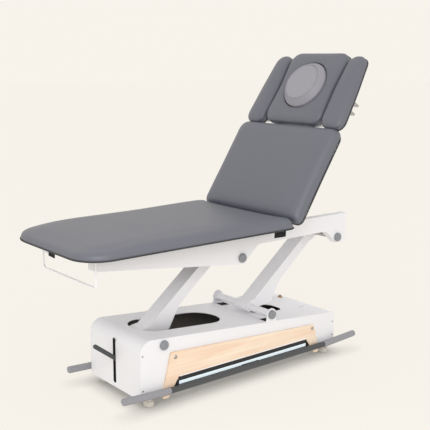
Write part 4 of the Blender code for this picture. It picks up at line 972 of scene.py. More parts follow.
def head_pad():
    """Head cover, open for the face plug; its dark cord of painted shade starts inside it, clear of the back.
    """
    size = sizes()
    full = size.fullness
    hole_gap = 0.0035
    hole_held = 0.008
    low, high = RAISED.box("head_pad")
    under, board = raised_board()
    plug_low, plug_high = RAISED.box("face_plug")
    centre = (plug_low[0] + plug_high[0]) / 2
    clear = (plug_high[1] - plug_low[1]) / 2 + hole_gap
    stop = high[0] + full
    half = high[1] - 0.0015
    radii = [size.head_corner] * 4
    outline = pad_outline(low[0] - 0.5 * full, stop, half, radii, size.waist)
    edge = pad_outline(low[0] + 1.5 * full, stop, half, radii, size.waist)
    run = size.back_shoulder
    height = pad_height(high[2], under)
    rings = pad_rings(outline, under, board, height, (run, run, 0.8 * run, 0.8 * run), 220, 0.45)

    def held(p):
        return (p[:, 2] < under + board) | (np.hypot(p[:, 0] - centre, p[:, 1]) < clear + hole_held)

    nodes = ["head_pad", "head_board"]
    hole = (RAISED.world((centre, 0, under)), RAISED.axes[2], clear)
    return cover("head_upholstery", rings, RAISED, size.small_cell, "head", nodes, held, edge, under, hole)


def arm_pad(word, side):
    """Arm cover, slimmer towards its upper end; its inner side follows the head pad's waist."""
    size = sizes()
    full = size.fullness
    bulge = 0.004
    node = f"{word}_arm_pad"
    low, high = RAISED.box(node)
    board = raised_board()[1]
    inner, outer = sorted((abs(low[1]), abs(high[1])))
    inner += 0.001
    outer += 2 * full
    upper = outer - size.arm_taper
    start, stop = low[0] - full, high[0] + full
    between = (start + stop) / 2
    corners = [
        (start, inner),
        (start, outer),
        (between, (outer + upper) / 2 + bulge),
        (stop, upper),
        (stop, inner),
        (between, inner - 0.8 * size.waist),
    ]
    rounds = size.arm_corner * np.array((1.0, 1.0, 20.0, 1.0, 0.95, 20.0))
    outline = rounded(np.array(corners) * (1, side), rounds)
    flanks = (size.arm_side_shoulder, size.arm_inner_shoulder)
    shoulders = (0.045, 0.070, *(flanks if side < 0 else flanks[::-1]))
    rings = pad_rings(outline, low[2], board, pad_height(high[2], low[2]), shoulders, 160, 0.35)

    def held(p):
        return p[:, 2] < low[2] + board

    name, body = f"{word}_arm_upholstery", f"{word}_arm_rest"
    return cover(name, rings, RAISED, size.small_cell, body, [node], held, outline, low[2])


class PHYSIO_OT_upholstery(bpy.types.Operator):
    """Stuffed covers of the leg, back, head and arm pads, each pulled round its board, with a dark cord of
    painted shade
    """

    bl_idname = "physio_table.upholstery"
    bl_label = "Upholstery"

    def execute(self, context):
        pads = [leg_pad(), back_pad(), head_pad()]
        pads += [arm_pad(word, side) for word, side in SIDES.items()]
        stuff(pads)
        for obj, _ in pads:
            moulded(obj.data, averaged(obj.data, coordinates(obj.data), 4))
            one_subdivision(obj)
        return {"FINISHED"}


def stitch_form(long, thick):
    """One stitch: a thread that rises from the cover and goes back in, six-sided."""
    sides = 6
    t = np.linspace(-1, 1, 5)
    ring = circle(thick / 2, sides)
    rise = thick * 0.6 * (1 - t**2) - thick * 0.4
    up = rise[:, None] + ring[:, 1]
    along = np.broadcast_to((t * long / 2)[:, None], up.shape)
    rings = np.stack([along, np.broadcast_to(ring[:, 0], up.shape), up], axis=2)
    poles = rings.mean(1)[[0, -1]][:, None].repeat(sides, 1)
    rings = np.concatenate([poles[:1], rings, poles[1:]])
    return rings.reshape(-1, 3), quads(len(rings), sides)


def plug_profile(radius, tall):
    """Half section of the face plug: upright side, a sloping band up to the sewn ring, and a low dome, with a
    groove along the ring that falls away as a bell curve."""
    seam = sizes().plug_seam
    groove = 0.0058
    groove_wide = 0.0025
    corners = [
        (0.0, 0.0),
        (radius - 0.002, 0.0),
        (radius, 0.35 * tall),
        (radius, tall - 0.031),
        (seam + 0.004, tall - 0.005),
        (seam, tall - 0.002),
        (0.0, tall),
    ]
    rounds = (0.0, 0.004, 0.03, 0.016, 0.006, 0.003, 0.0)
    profile = even(rounded(corners, rounds, steps=12, closed=False), 260, closed=False)
    top = profile[:, 1] > 0.6 * tall
    profile[:, 1] -= top * groove * np.exp(-(((profile[:, 0] - seam) / groove_wide) ** 2))
    return profile, profile[top][::-1]


class PHYSIO_OT_face_plug(bpy.types.Operator):
    """Round plug in the head pad's breathing hole, with a sewn ring round its top"""

    bl_idname = "physio_table.face_plug"
    bl_label = "Face plug"

    def execute(self, context):
        size = sizes()
        stitches = 150
        hole = 0.0905
        gap = 0.0035
        edge = 0.001
        skin = 0.0002
        along, across, out = RAISED.axes
        low, high = RAISED.box("face_plug")
        radius = high[1]
        middle = (low[0] + high[0]) / 2
        centre = RAISED.world((middle, 0, low[2]))
        profile, top = plug_profile(radius, high[2] - low[2] + size.plug_proud)
        mesh = loft("face_plug_cover", turn(profile, centre, out, 128))
        obj = place("face_plug_cover", mesh, pale_vinyl(), "plug", ["face_plug"])
        angle = np.linspace(0, 2 * math.pi, stitches, endpoint=False)[:, None]
        spoke = np.cos(angle) * along + np.sin(angle) * across
        tangent = -np.sin(angle) * along + np.cos(angle) * across
        ring = size.plug_seam - 0.0060
        rise = np.interp(ring, top[:, 0], top[:, 1]) + 0.0001
        spots = centre + spoke * ring + out * rise
        matrices = [stance(p, t, s, out) for p, t, s in zip(spots, tangent, spoke)]
        thread = many("face_plug_stitches", *stitch_form(0.0032, 0.0007), matrices)
        place("face_plug_stitches", thread, pale_vinyl(), "plug")
        board_low, board_high = RAISED.box("head_board")
        deep = board_high[2] - board_low[2] - skin
        corners = [
            (radius + gap, skin),
            (radius + gap, deep),
            (hole + edge, deep),
            (hole, deep - edge),
            (hole, skin + edge),
            (hole + edge, skin),
        ]
        seat = turn(corners, RAISED.world((middle, 0, board_low[2])), out, 96)
        mesh = loft("face_plug_seat", seat, wrap_rows=True)
        place("face_plug_seat", mesh, birch(), "head")
        return {"FINISHED"}


def lining(name, section, node, body, radii, hole=None, bare=(1.0, 1.0)):
    """Felt stapled under a board: rings from its middle, or its hole, out to the hem and back along the
    board. The staples leave out the two strips that bare gives, as distances from the middle."""
    size = sizes()
    count = 160
    felt = 0.00012
    low, high = section.box(node)
    inset = size.lining_in
    outline = even(pad_outline(low[0] + inset, high[0] - inset, high[1] - inset, radii, size.draw_in), count)
    middle = outline.mean(0)
    inner = middle + (outline - middle) * 0.05 if hole is None else hole
    share = np.array([0.0, 0.3, 0.6, 0.9, 0.985, 1.0])[:, None, None]
    thick = np.array([1.0, 1.0, 1.0, 1.0, 1.6, 0.0])[:, None, None] * felt
    plan = inner[None] + (outline - inner)[None] * share
    base = low[2] - 0.00002
    down = np.concatenate([plan, np.broadcast_to(base - thick, (*plan.shape[:2], 1))], axis=2)
    back = np.concatenate([plan, np.full((*plan.shape[:2], 1), base)], axis=2)
    rings = np.concatenate([down, back[::-1]])
    mesh = loft(name, section.world(rings), wrap_rows=hole is not None)
    place(name, mesh, lining_cloth(), body)
    walk = np.linalg.norm(np.roll(outline, -1, axis=0) - outline, axis=1).sum()
    spots = even(outline, int(walk / size.staple_pitch))
    heading = np.roll(spots, -1, axis=0) - np.roll(spots, 1, axis=0)
    heading /= np.linalg.norm(heading, axis=1)[:, None]
    spots = middle + (spots - middle) * 0.985
    shown = (np.abs(spots[:, 1]) < bare[0]) | (np.abs(spots[:, 1]) > bare[1])
    spots = np.insert(spots[shown], 2, base - 0.0002, axis=1)
    heading = np.insert(heading[shown], 2, 0.0, axis=1) @ section.axes
    out = -section.axes[2]
    matrices = [stance(p, t, np.cross(out, t), out) for p, t in zip(section.world(spots), heading)]
    staples = many(f"{name}_staples", *stitch_form(0.011, 0.0009), matrices)
    place(f"{name}_staples", staples, steel(), body)


def tag(name, spot, along, wide, drop):
    """Plain fabric tag that hangs from a spot: a slab on its rounded outline, with a slight sway."""
    thick = 0.0012
    across = np.array((along[1], -along[0], 0.0))
    along = np.array((*along, 0.0))
    corners = [(-wide / 2, 0), (wide / 2, 0), (wide / 2, -drop), (-wide / 2, -drop)]
    outline = even(rounded(corners, 0.003), 120)
    shares = np.array([0.2, 0.6, 0.93, 1.0, 1.0, 0.93, 0.6, 0.2])
    depth = np.array([1, 1, 1, 0.5, -0.5, -1, -1, -1]) * thick / 2
    middle = outline.mean(0)
    plan = middle + (outline - middle)[None] * shares[:, None, None]
    sway = 0.05 * plan[..., 1] + 0.0015 * np.sin(plan[..., 0] * 60)
    rings = np.array(spot) + plan[..., :1] * along + plan[..., 1:] * np.array((0, 0, 1.0))
    rings = rings + (depth[:, None] + sway)[..., None] * across
    place(name, loft(name, rings), tag_cloth(), "upper_frame")


class PHYSIO_OT_linings(bpy.types.Operator):
    """Dark linings stapled under the boards, and the two plain fabric tags"""

    bl_idname = "physio_table.linings"
    bl_label = "Linings and tags"

    def execute(self, context):
        size = sizes()
        lining("leg_lining", LEVEL, "leg_board", "upper_frame", leg_radii())
        rail_low, rail_high = node_box("far_rail")
        over_rails = (rail_low[1] - 0.010, rail_high[1] + 0.010)
        lining("back_lining", RAISED, "back_board", "back", [size.back_corner] * 4, bare=over_rails)
        plug_low, plug_high = RAISED.box("face_plug")
        hole = np.roll(circle(0.0915, 160, ((plug_low[0] + plug_high[0]) / 2, 0)), 80, axis=0)
        lining("head_lining", RAISED, "head_board", "head", [size.head_corner] * 4, hole)
        low = LEVEL.box("leg_board")[0]
        level = low[2] - 0.0001
        tag("near_tag", (0.186, low[1] + 0.006, level), (1.0, 0.0), 0.066, 0.027)
        tag("foot_tag", (low[0] + 0.010, -0.070, level), (0.0, 1.0), 0.058, 0.016)
        return {"FINISHED"}


# Frame and trim


def cabinet_top(x):
    """Height and upward normal of the cabinet's sloping top at x, from the cover's largest upward face."""
    faces = frame["nodes"]["base_cover"].data.polygons
    normals = read(faces, "normal", 3).astype(float)
    middles = read(faces, "center", 3).astype(float)
    areas = read(faces, "area", 1)[:, 0]
    flat = np.flatnonzero((normals[:, 2] > 0.98) & (middles[:, 2] > 0.15))
    largest = flat[areas[flat].argmax()]
    normal, point = normals[largest], middles[largest]
    return point[2] - (x - point[0]) * normal[0] / normal[2], normal


def screw_form(radius, height):
    """Domed screw head with a round socket, as one turned profile along its own third axis."""
    sunk = -0.0006
    corners = [
        (0.0, sunk),
        (radius, sunk),
        (radius, 0.35 * height),
        (0.7 * radius, height),
        (0.45 * radius, height),
        (0.42 * radius, 0.35 * height),
        (0.0, 0.35 * height),
    ]
    rings = turn(rounded(corners, 0.1 * radius, steps=3, closed=False), (0, 0, 0), (0, 0, 1), 24)
    return rings.reshape(-1, 3), quads(*rings.shape[:2])


def base_sheets():
    """Side plates, cover and floor of the cabinet; what looks inwards gets the painted shade of the inside.
    """
    size = sizes()
    white = powder()
    height, upward = cabinet_top(0.0)
    top = np.array((0.0, 0.0, height - 0.001))
    for word, side in SIDES.items():
        face = node_box(f"{word}_base_side")[0 if side < 0 else 1][1]
        dressed(
            f"{word}_base_side", white, "base", segments=3,
            outer=lambda p: np.abs(p[:, 1] - face) < 1e-4, outer_width=size.cabinet_round,
            inside=lambda p, n: (n[:, 1] * side < -0.5) & ((p - top) @ upward < 0), split=(top, upward)
        )
    low, high = node_box("base_cover")
    core = np.array(((low[0] + high[0]) / 2, 0.0, 0.4 * high[2]))
    # the cover's inward faces and the pan's upward faces get the painted shade of the inside
    dressed(
        "base_cover", white, "base", 0.0008,
        inside=lambda p, n: ((core - p) * n * (1, 0, 1)).sum(1) > 0.02
    )
    dressed("base_pan", white, "base", 0.0008, inside=lambda p, n: n[:, 2] > 0.5)


def levelling_foot(node):
    """Turned rubber foot: a wide head, a neck, and a tread with one groove."""
    low, high = node_box(node)
    radius = (high[0] - low[0]) / 2
    top = high[2]
    tread = 0.92 * radius
    corners = [
        (0.0, top),
        (radius, top),
        (radius, top - 0.007),
        (0.66 * radius, top - 0.009),
        (0.62 * radius, top - 0.017),
        (tread, top - 0.021),
        (tread, 0.013),
        (0.86 * radius, 0.0115),
        (tread, 0.010),
        (tread, 0.0),
        (0.0, 0.0),
    ]
    profile = rounded(corners, 0.0012, steps=4, closed=False)
    centre = ((low[0] + high[0]) / 2, (low[1] + high[1]) / 2, 0)
    mesh = loft(f"{node}_rubber", turn(profile, centre, (0, 0, 1), 48))
    place(f"{node}_rubber", mesh, rubber(), "base", [node])


def pedal_slot_trim():
    """Black lip round the pedal's slot: (inwards, outwards) steps of its section along the slot's outline."""
    wide = 0.0100
    foot, head = 0.060, 0.265
    lip = np.array([(0, 0), (0, 1.2), (1.0, 1.8), (2.8, 1.8), (3.4, 1.2), (3.4, -3.0)]) / 1000
    face = node_box("base_cover")[0][0]
    corners = [(-wide, foot), (wide, foot), (wide, head), (-wide, head)]
    outline = even(rounded(corners, 0.98 * wide, steps=10), 120)
    middle = outline.mean(0)
    span = (outline.max(0) - outline.min(0)) / 2
    plan = middle + (outline - middle)[None] * (1 - lip[:, :1, None] / span)
    out = np.broadcast_to(face - lip[:, 1, None, None], (*plan.shape[:2], 1))
    trim = loft("pedal_slot_trim", np.concatenate([out, plan], axis=2), wrap_rows=True)
    place("pedal_slot_trim", trim, black_moulding_and_shadow(), "base")


class PHYSIO_OT_cabinet(bpy.types.Operator):
    """Cabinet sheets, levelling feet, side plate screws and the small fitting on its top"""

    bl_idname = "physio_table.cabinet"
    bl_label = "Cabinet"

    def execute(self, context):
        base_sheets()
        for word in SIDES:
            for end in ("foot", "head"):
                levelling_foot(f"{word}_{end}_end_foot")
        pedal_slot_trim()
        spots = [(-0.463, 0.234), (-0.463, 0.082), (0.673, 0.155), (0.673, 0.087)]
        face = node_box("far_base_side")[1][1]
        matrices = [outwards((x, side * face, z), side) for side in SIDES.values() for x, z in spots]
        heads = many("cabinet_screws", *screw_form(0.0042, 0.0016), matrices)
        place("cabinet_screws", heads, steel(), "base")
        fitting = [
            (0.0, -0.001),
            (0.0125, -0.001),
            (0.0125, 0.004),
            (0.0095, 0.0055),
            (0.0075, 0.0055),
            (0.0070, 0.0105),
            (0.0045, 0.0125),
            (0.0, 0.0125),
        ]
        profile = rounded(fitting, 0.0008, steps=4, closed=False)
        x, y = 0.639, 0.145
        height, upward = cabinet_top(x)
        mesh = loft("cabinet_fitting", turn(profile, (x, y, height), upward, 40))
        place("cabinet_fitting", mesh, brass(), "base")
        return {"FINISHED"}


def slab_rings(outline, thick, edge):
    """Rings of a slab on its plan: flat back, straight sides and a rounded front edge."""
    middle = (outline.min(0) + outline.max(0)) / 2
    span = (outline.max(0) - outline.min(0)) / 2
    bend = np.radians(np.linspace(0, 90, 4))
    inset = np.concatenate([[0.0], edge * (1 - np.cos(bend)), [0.3 * span.min()]])
    up = np.concatenate([[0.0], thick - edge * (1 - np.sin(bend)), [thick]])
    plan = middle + (outline - middle)[None] * (1 - inset[:, None, None] / span)
    return np.concatenate([plan, np.broadcast_to(up[:, None, None], (*plan.shape[:2], 1))], axis=2)


def black_slab(name, corners, rounds, count, face, side):
    """Thin black slab of painted shadow on an X-Z plan, its back at a distance from the table's middle."""
    rings = slab_rings(even(rounded(corners, rounds, steps=3), count), 0.0008, 0.0003)
    x, z, deep = np.moveaxis(rings, 2, 0)
    mesh = loft(name, np.stack([x, side * (deep + face), z], axis=2))
    place(name, mesh, black_moulding_and_shadow(), "base")


def lens_rings(reach, bottom, tall, thick, edge):
    """Rings of a flat strip along X: one height on top, a bottom that steps with the reach, and front edges
    cut at a slant."""
    reach, bottom = np.array(reach), np.array(bottom)
    deep = np.array((0, thick - edge, thick, thick, thick - edge, 0))
    lower = bottom[:, None] + (0, 0, edge)
    upper = np.broadcast_to((tall - edge, tall, tall), lower.shape)
    up = np.concatenate([lower, upper], axis=1)
    return np.stack([np.broadcast_to(reach[:, None], up.shape), np.broadcast_to(deep, up.shape), up], axis=2)


def lens(word, side):
    """Lit lens over the lower edge of a light strip; its bottom steps up to let the bar's hanger rise."""
    tall = 0.0150
    hangs = 0.0034
    step = 0.0002
    room = 0.001
    low, high = node_box(f"{word}_light_strip")
    first, last = node_box(f"{word}_bar_hanger")
    face = side * max(abs(low[1]), abs(high[1]))
    wide = (high[0] - low[0] - 0.004) / 2
    origin = np.array(((low[0] + high[0]) / 2, face - side * 0.0002, low[2] - hangs))
    travel = joint(f"{word}_bar_press")["range_m"][1]
    notch = last[2] + travel + 0.0003 - origin[2]
    left, right = first[0] - room - origin[0], last[0] + room - origin[0]
    reach = (-wide, left - step, left, right, right + step, wide)
    rings = lens_rings(reach, (0, 0, notch, notch, 0, 0), tall, 0.0012, 0.0004)
    mesh = loft(f"{word}_light_lens", origin + rings * (1, side, 1))
    place(f"{word}_light_lens", mesh, light_lens(), "base")


class PHYSIO_OT_side_panels(bpy.types.Operator):
    """Birch side panels with their bolts, the black light channels and the lit lenses, with black slabs of
    painted shadow below the channels and white beads of painted highlight over them
    """

    bl_idname = "physio_table.side_panels"
    bl_label = "Side panels and lights"

    def execute(self, context):
        bolts = []
        bolt_spots = ((-0.302, 0.199), (0.521, 0.153))
        bottom = 0.046
        gap = 0.0015
        skin = 0.0003
        for word, side in SIDES.items():
            low, high = node_box(f"{word}_light_strip")
            dressed(f"{word}_wood_panel", birch(), "base", 0.0014, segments=3)
            dressed(f"{word}_light_strip", black_moulding_and_shadow(), "base", 0.0010)
            lens(word, side)
            back, front = np.sort(np.abs(np.array(node_box(f"{word}_wood_panel"))[:, 1]))
            first, last = node_box(f"{word}_bar_hanger")
            # black slabs on the side plate below each light strip, split at the bar's hanger, are painted
            # shadow of the recess behind the bar
            top = low[2] - skin
            for part, start, stop in (("foot", low[0], first[0] - gap), ("head", last[0] + gap, high[0])):
                corners = [(start, bottom), (stop, bottom), (stop, top), (start, top)]
                black_slab(f"{word}_{part}_painted_shadow_strip", corners, 0.001, 160, back, side)
            # the slanted black ends partly continue the black channel and partly paint the same shadow
            top = high[2] - 0.003
            for part, end, slope in (("foot", low[0], -0.64), ("head", high[0], 0.69)):
                inner = end + math.copysign(skin, slope)
                lower, upper = (end + slope * (high[2] - level) for level in (bottom, top))
                corners = [(inner, bottom), (inner, top), (upper, top), (lower, bottom)]
                black_slab(f"{word}_{part}_light_end", corners, 0.0005, 120, back, side)
            # white bead along the panel's cut-out edge over the light strip: a painted highlight line
            share = np.concatenate([[0.0, 0.001], np.linspace(0.004, 0.996, 30), [0.999, 1.0]])
            path = np.array((low[0] + 0.003, side * front, high[2] + 0.0012))
            path = path + share[:, None] * (high[0] - low[0] - 0.006, 0, 0)
            bead = loft(f"{word}_painted_highlight_bead", sweep(path, circle(0.0021, 12), (0, 1, 0)))
            place(f"{word}_painted_highlight_bead", bead, white_coat_and_highlight(), "base")
            bolts += [outwards((x, side * front, z), side) for x, z in bolt_spots]
        heads = many("panel_bolts", *screw_form(0.0086, 0.0036), bolts)
        place("panel_bolts", heads, steel(), "base")
        return {"FINISHED"}


def rod(name, radius, half, centre, body, sides):
    """Plated pin across the table, with its end edges broken."""
    corners = [(0.0, -half), (radius, -half), (radius, half), (0.0, half)]
    mesh = loft(name, turn(rounded(corners, 0.0008, 3, False), centre, (0, 1, 0), sides))
    place(name, mesh, steel(), body)


def axle(node, body):
    """Shaft of the lift with a domed, dished cap on each end."""
    radius = sizes().axle_radius
    into_cap = 0.002
    low, high = node_box(node)
    centre = (low + high) / 2
    cap = (high[0] - low[0]) / 2
    points = node_points(node)
    rim = np.hypot(points[:, 0] - centre[0], points[:, 2] - centre[2]) > 0.8 * cap
    edge = np.abs(points[rim, 1]).min()
    tall = (high[1] - low[1]) / 2 - edge
    corners = [
        (0.0, 0.0),
        (cap, 0.0),
        (cap, 0.62 * tall),
        (0.80 * cap, tall),
        (0.42 * cap, tall),
        (0.36 * cap, 0.86 * tall),
        (0.0, 0.86 * tall),
    ]
    profile = rounded(corners, (0, 0.0006, 0.004, 0.006, 0.0012, 0.0012, 0), steps=5, closed=False)
    rings = turn(profile, (0, 0, 0), (0, 0, 1), 72)
    matrices = [outwards(centre + (0, side * edge, 0), side) for side in SIDES.values()]
    caps = many(f"{node}_caps", rings.reshape(-1, 3), quads(*rings.shape[:2]), matrices)
    place(f"{node}_caps", caps, cap_plastic(), body, [node])
    rod(f"{node}_shaft", radius, edge + into_cap, centre, body, 40)


class PHYSIO_OT_lift(bpy.types.Operator):
    """Lift arms, their axles with domed caps, the bush tube and the lift's motor and rod"""

    bl_idname = "physio_table.lift"
    bl_label = "Lift"

    def execute(self, context):
        white = powder()
        dressed("front_lift_arm", white, "front_arm", 0.0030, segments=3)
        dressed("rear_lift_arm", white, "rear_arm", 0.0030, segments=3)
        dressed("rear_bush_tube", white, "rear_arm", 0.0015)
        dressed("lift_rod", steel(), "lift_rod", 0.0010)
        dressed("lift_motor", black_moulding_and_shadow(), "base", 0.0025)
        for body, word in (("base", ""), ("upper_frame", "upper_")):
            for end in ("front", "rear"):
                axle(f"{word}{end}_axle", body)
        return {"FINISHED"}


class PHYSIO_OT_upper_frame(bpy.types.Operator):
    """Side rails, cross tubes, paper roll wire, back motor, hinge bars and arm brackets"""

    bl_idname = "physio_table.upper_frame"
    bl_label = "Upper frame"

    def execute(self, context):
        white = powder()
        for word in SIDES:
            dressed(f"{word}_rail", white, "upper_frame", 0.0012)
            dressed(f"{word}_back_bar", white, "back", 0.0015)
            dressed(f"{word}_head_bar", white, "head", 0.0015)
            dressed(f"{word}_arm_bracket", steel(), f"{word}_arm_rest", 0.0010)
        for node in ("foot_cross_tube", "head_cross_tube"):
            dressed(node, white, "upper_frame", 0.0025, segments=3)
        dressed("back_motor", black_moulding_and_shadow(), "upper_frame", 0.0015)
        dressed("back_rod", steel(), "back_rod", 0.0008)
        dressed("back_hinge_shaft", steel(), "back", 0.0010)
        dressed("head_hinge_shaft", white, "back", 0.0010)
        low, high = node_box("paper_roll_wire")
        radius = (high[0] - low[0]) / 2
        x = (low[0] + high[0]) / 2
        wide = high[1] - radius
        top, bottom = high[2] - 0.0001, low[2] + radius
        corners = [(x, -wide, top), (x, -wide, bottom), (x, wide, bottom), (x, wide, top)]
        path = rounded(corners, 0.018, steps=12, closed=False)
        # the wire's whiter coat is partly its own and partly painted highlight for its place in the pads'
        # shade
        mesh = loft("paper_roll_wire_rod", sweep(path, circle(radius + 0.0011, 16), (1, 0, 0)))
        nodes = ["paper_roll_wire"]
        place("paper_roll_wire_rod", mesh, white_coat_and_highlight(), "upper_frame", nodes)
        return {"FINISHED"}


def bar_rings(reach, across, level, middle, slant=0.0):
    """Rings of an eight-sided bar along X: size, height and slant of the section change with the reach."""
    nominal = 0.027
    angle = np.arange(8) * math.pi / 4 + math.pi / 8
    corners = 0.5 / math.cos(math.pi / 8) * np.stack([np.cos(angle), np.sin(angle)], axis=1)
    section = rounded(corners, sizes().bar_round / nominal, steps=4)
    slant = np.broadcast_to(slant, reach.shape)
    x = reach[:, None] + slant[:, None] * section[None, :, 1]
    y = middle + across[:, None] * section[None, :, 0]
    z = level[:, None] + across[:, None] * section[None, :, 1]
    return np.stack([x, y, z], axis=2)


def bar_middle(word):
    """Dark middle of a foot bar, 2 mm slimmer than its solid, with its end edges broken."""
    node = f"{word}_foot_bar"
    low, high = node_box(node)
    steps = np.array([0.0, 0.0008, 0.004])
    run = np.linspace(low[0] + 0.05, high[0] - 0.05, 8)
    reach = np.concatenate([low[0] + steps, run, high[0] - steps[::-1]])
    across = np.full(len(reach), high[2] - low[2] - 0.002)
    across[[0, -1]] *= 0.93
    level = np.full(len(reach), (low[2] + high[2]) / 2)
    mesh = loft(f"{word}_bar_middle", bar_rings(reach, across, level, (low[1] + high[1]) / 2))
    place(f"{word}_bar_middle", mesh, bar_coat(), f"{word}_bar", [node])


def bar_grip(word, end):
    """Grip on a foot bar's end, 2 mm larger than its solid: it slants at the joint, rises evenly from there
    and closes with a round end."""
    node = f"{word}_bar_{end}_grip"
    low, high = node_box(f"{word}_foot_bar")
    first, last = node_box(node)
    nose = 0.004
    across = high[2] - low[2]
    level = (low[2] + high[2]) / 2
    way = -1.0 if end == "foot" else 1.0
    start, stop = (last[0], first[0]) if end == "foot" else (first[0], last[0])
    rise = last[2] - across * 23 / 54 - level + 0.001
    long = abs(stop - start)
    bend = np.radians(np.linspace(0, 80, 6))
    run = np.linspace(0.01, long - 0.012, 24)
    t = np.concatenate([[0.0, 0.0006, 0.002], run, long - nose + nose * np.sin(bend) / math.sin(bend[-1])])
    share = np.concatenate([[0.96, 1.0, 1.0], np.ones(len(run)), 1 - 0.16 * (1 - np.cos(bend))])
    lift = level + rise * np.maximum(0.0, t / long - 0.04 * smooth(t / 0.06))
    slant = sizes().bar_slant * (1 - smooth(t / 0.05))
    sleeve = (across + 0.002) * share
    rings = bar_rings(start + way * t, sleeve, lift, (low[1] + high[1]) / 2, slant)
    mesh = loft(f"{node}_cover", rings)
    place(f"{node}_cover", mesh, grip_plastic(), f"{word}_bar", [node])


class PHYSIO_OT_foot_bars(bpy.types.Operator):
    """Eight-sided foot bars with their upturned end grips, and their hangers"""

    bl_idname = "physio_table.foot_bars"
    bl_label = "Foot bars"

    def execute(self, context):
        for word in SIDES:
            bar_middle(word)
            for end in ("foot", "head"):
                bar_grip(word, end)
            dressed(f"{word}_bar_hanger", steel(), f"{word}_bar", 0.0008)
        return {"FINISHED"}


class PHYSIO_OT_running_gear(bpy.types.Operator):
    """Castor pedal, its bracket, the castor carriers and wheels, and the control box"""

    bl_idname = "physio_table.running_gear"
    bl_label = "Pedal and castors"

    def execute(self, context):
        low, high = node_box("castor_pedal")
        pivot = joint_place("pedal_press")
        radius = 0.0065
        tip = np.array((low[0] + 0.4 * radius, 0.0, high[2] - 0.9 * radius))
        knee = pivot + (-0.036, 0.0, 0.074)
        path = rounded([pivot, knee, tip], 0.03, steps=14, closed=False)
        path = np.concatenate([path[:-1], path[-2] + (tip - path[-2]) * np.linspace(0.1, 1, 14)[:, None]])
        left = np.linalg.norm(path - tip, axis=1)
        scale = np.sqrt(np.clip(1 - np.clip(1 - left / radius, 0, 0.98) ** 2, 0, 1))
        corners = np.array([(-1, -1.5), (1, -1.5), (1, 1.5), (-1, 1.5)]) * radius
        section = rounded(corners, 0.6 * radius, steps=6)
        mesh = loft("castor_pedal_lever", sweep(path, section, (0, 1, 0), scale))
        place("castor_pedal_lever", mesh, bar_coat(), "pedal", ["castor_pedal"])
        rod("castor_pedal_pin", 0.006, high[1], pivot, "pedal", 24)
        dressed("pedal_bracket", steel(), "base", 0.0008)
        dressed("control_box", black_moulding_and_shadow(), "base", 0.0030, segments=3)
        for end in ("foot", "head"):
            dressed(f"{end}_castor_carrier", steel(), f"{end}_castor", 0.0008)
            wheels = f"{end}_castor_wheels"
            dressed(wheels, black_moulding_and_shadow(), f"{end}_wheels", 0.0020, segments=3)
        return {"FINISHED"}


# Stage

FLOOR = -0.0002
FLOOR_HALF = 40.0
AMBIENT = 0.95
LAMP = 18.0
LAMP_SIZE = 1.6
LAMP_AT = (-1.5, -1.9, 1.75)
LAMP_AIM = (0.0, 0.0, 0.6)
GLOW = 0.84
# reach and falloff of the shadow that ambient occlusion paints into the floor near the table
PAINTED_SHADOW_REACH = 0.085
PAINTED_SHADOW_FALL = 0.7
CAMERA_AT = (-2.2431, -2.9126, 1.4525)
CAMERA_DOWN = 10.856
CAMERA_YAW = 38.608
FOCAL = 68.67
BLACK = (0.0, 0.0, 0.0, 1.0)


def shaded(tree, factor, tint):
    """Colour between black and a tint; the factor and the tint may each be a plain value or a socket."""
    mix = tree.nodes.new("ShaderNodeMix")
    mix.data_type = "RGBA"
    mix.inputs[6].default_value = BLACK
    wire(tree, factor, mix.inputs[0])
    wire(tree, tint, mix.inputs[7])
    return mix.outputs[2]


def floor_paper(tint):
    """Paper that glows for the most part, with a painted shadow close to what stands on it."""
    material = bpy.data.materials.new("floor_paper")
    material.use_nodes = True
    tree = material.node_tree
    shader = tree.nodes["Principled BSDF"]
    shader.inputs["Roughness"].default_value = 1.0
    shader.inputs["Specular IOR Level"].default_value = 0.0
    shader.inputs["Emission Strength"].default_value = GLOW
    # ambient occlusion paints a shadow into the paper's glow and colour near what stands on it
    near = tree.nodes.new("ShaderNodeAmbientOcclusion")
    near.samples = 16
    near.inputs["Distance"].default_value = PAINTED_SHADOW_REACH
    paper = shaded(tree, maths(tree, "POWER", near.outputs["AO"], PAINTED_SHADOW_FALL), tint)
    tree.links.new(paper, shader.inputs["Emission Color"])
    tree.links.new(shaded(tree, 1 - GLOW, paper), shader.inputs["Base Color"])
    return material


def plain_room(tint):
    """World of one even light, which the camera and reflections see in the floor's colour."""
    world = bpy.data.worlds.new("plain_room")
    world.use_nodes = True
    tree = world.node_tree
    ambient = tree.nodes["Background"]
    ambient.inputs["Color"].default_value = (1.0, 0.99, 0.975, 1.0)
    ambient.inputs["Strength"].default_value = AMBIENT
    seen = tree.nodes.new("ShaderNodeBackground")
    seen.inputs["Color"].default_value = tint
    rays = tree.nodes.new("ShaderNodeLightPath").outputs
    shown = maths(tree, "MAXIMUM", rays["Is Camera Ray"], rays["Is Transmission Ray"])
    shown = maths(tree, "MAXIMUM", shown, rays["Is Glossy Ray"])
    mix = tree.nodes.new("ShaderNodeMixShader")
    tree.links.new(shown, mix.inputs[0])
    tree.links.new(ambient.outputs[0], mix.inputs[1])
    tree.links.new(seen.outputs[0], mix.inputs[2])
    tree.links.new(mix.outputs[0], tree.nodes["World Output"].inputs["Surface"])
    return world


def facing(source):
    """Turn of a light that shines from the source direction to the origin."""
    x, y, z = source
    return (math.atan2(math.hypot(x, y), z), 0.0, math.atan2(y, x) + math.pi / 2)


def on_stage(name, data):
    obj = bpy.data.objects.new(name, data)
    bpy.context.scene.collection.objects.link(obj)
    return obj


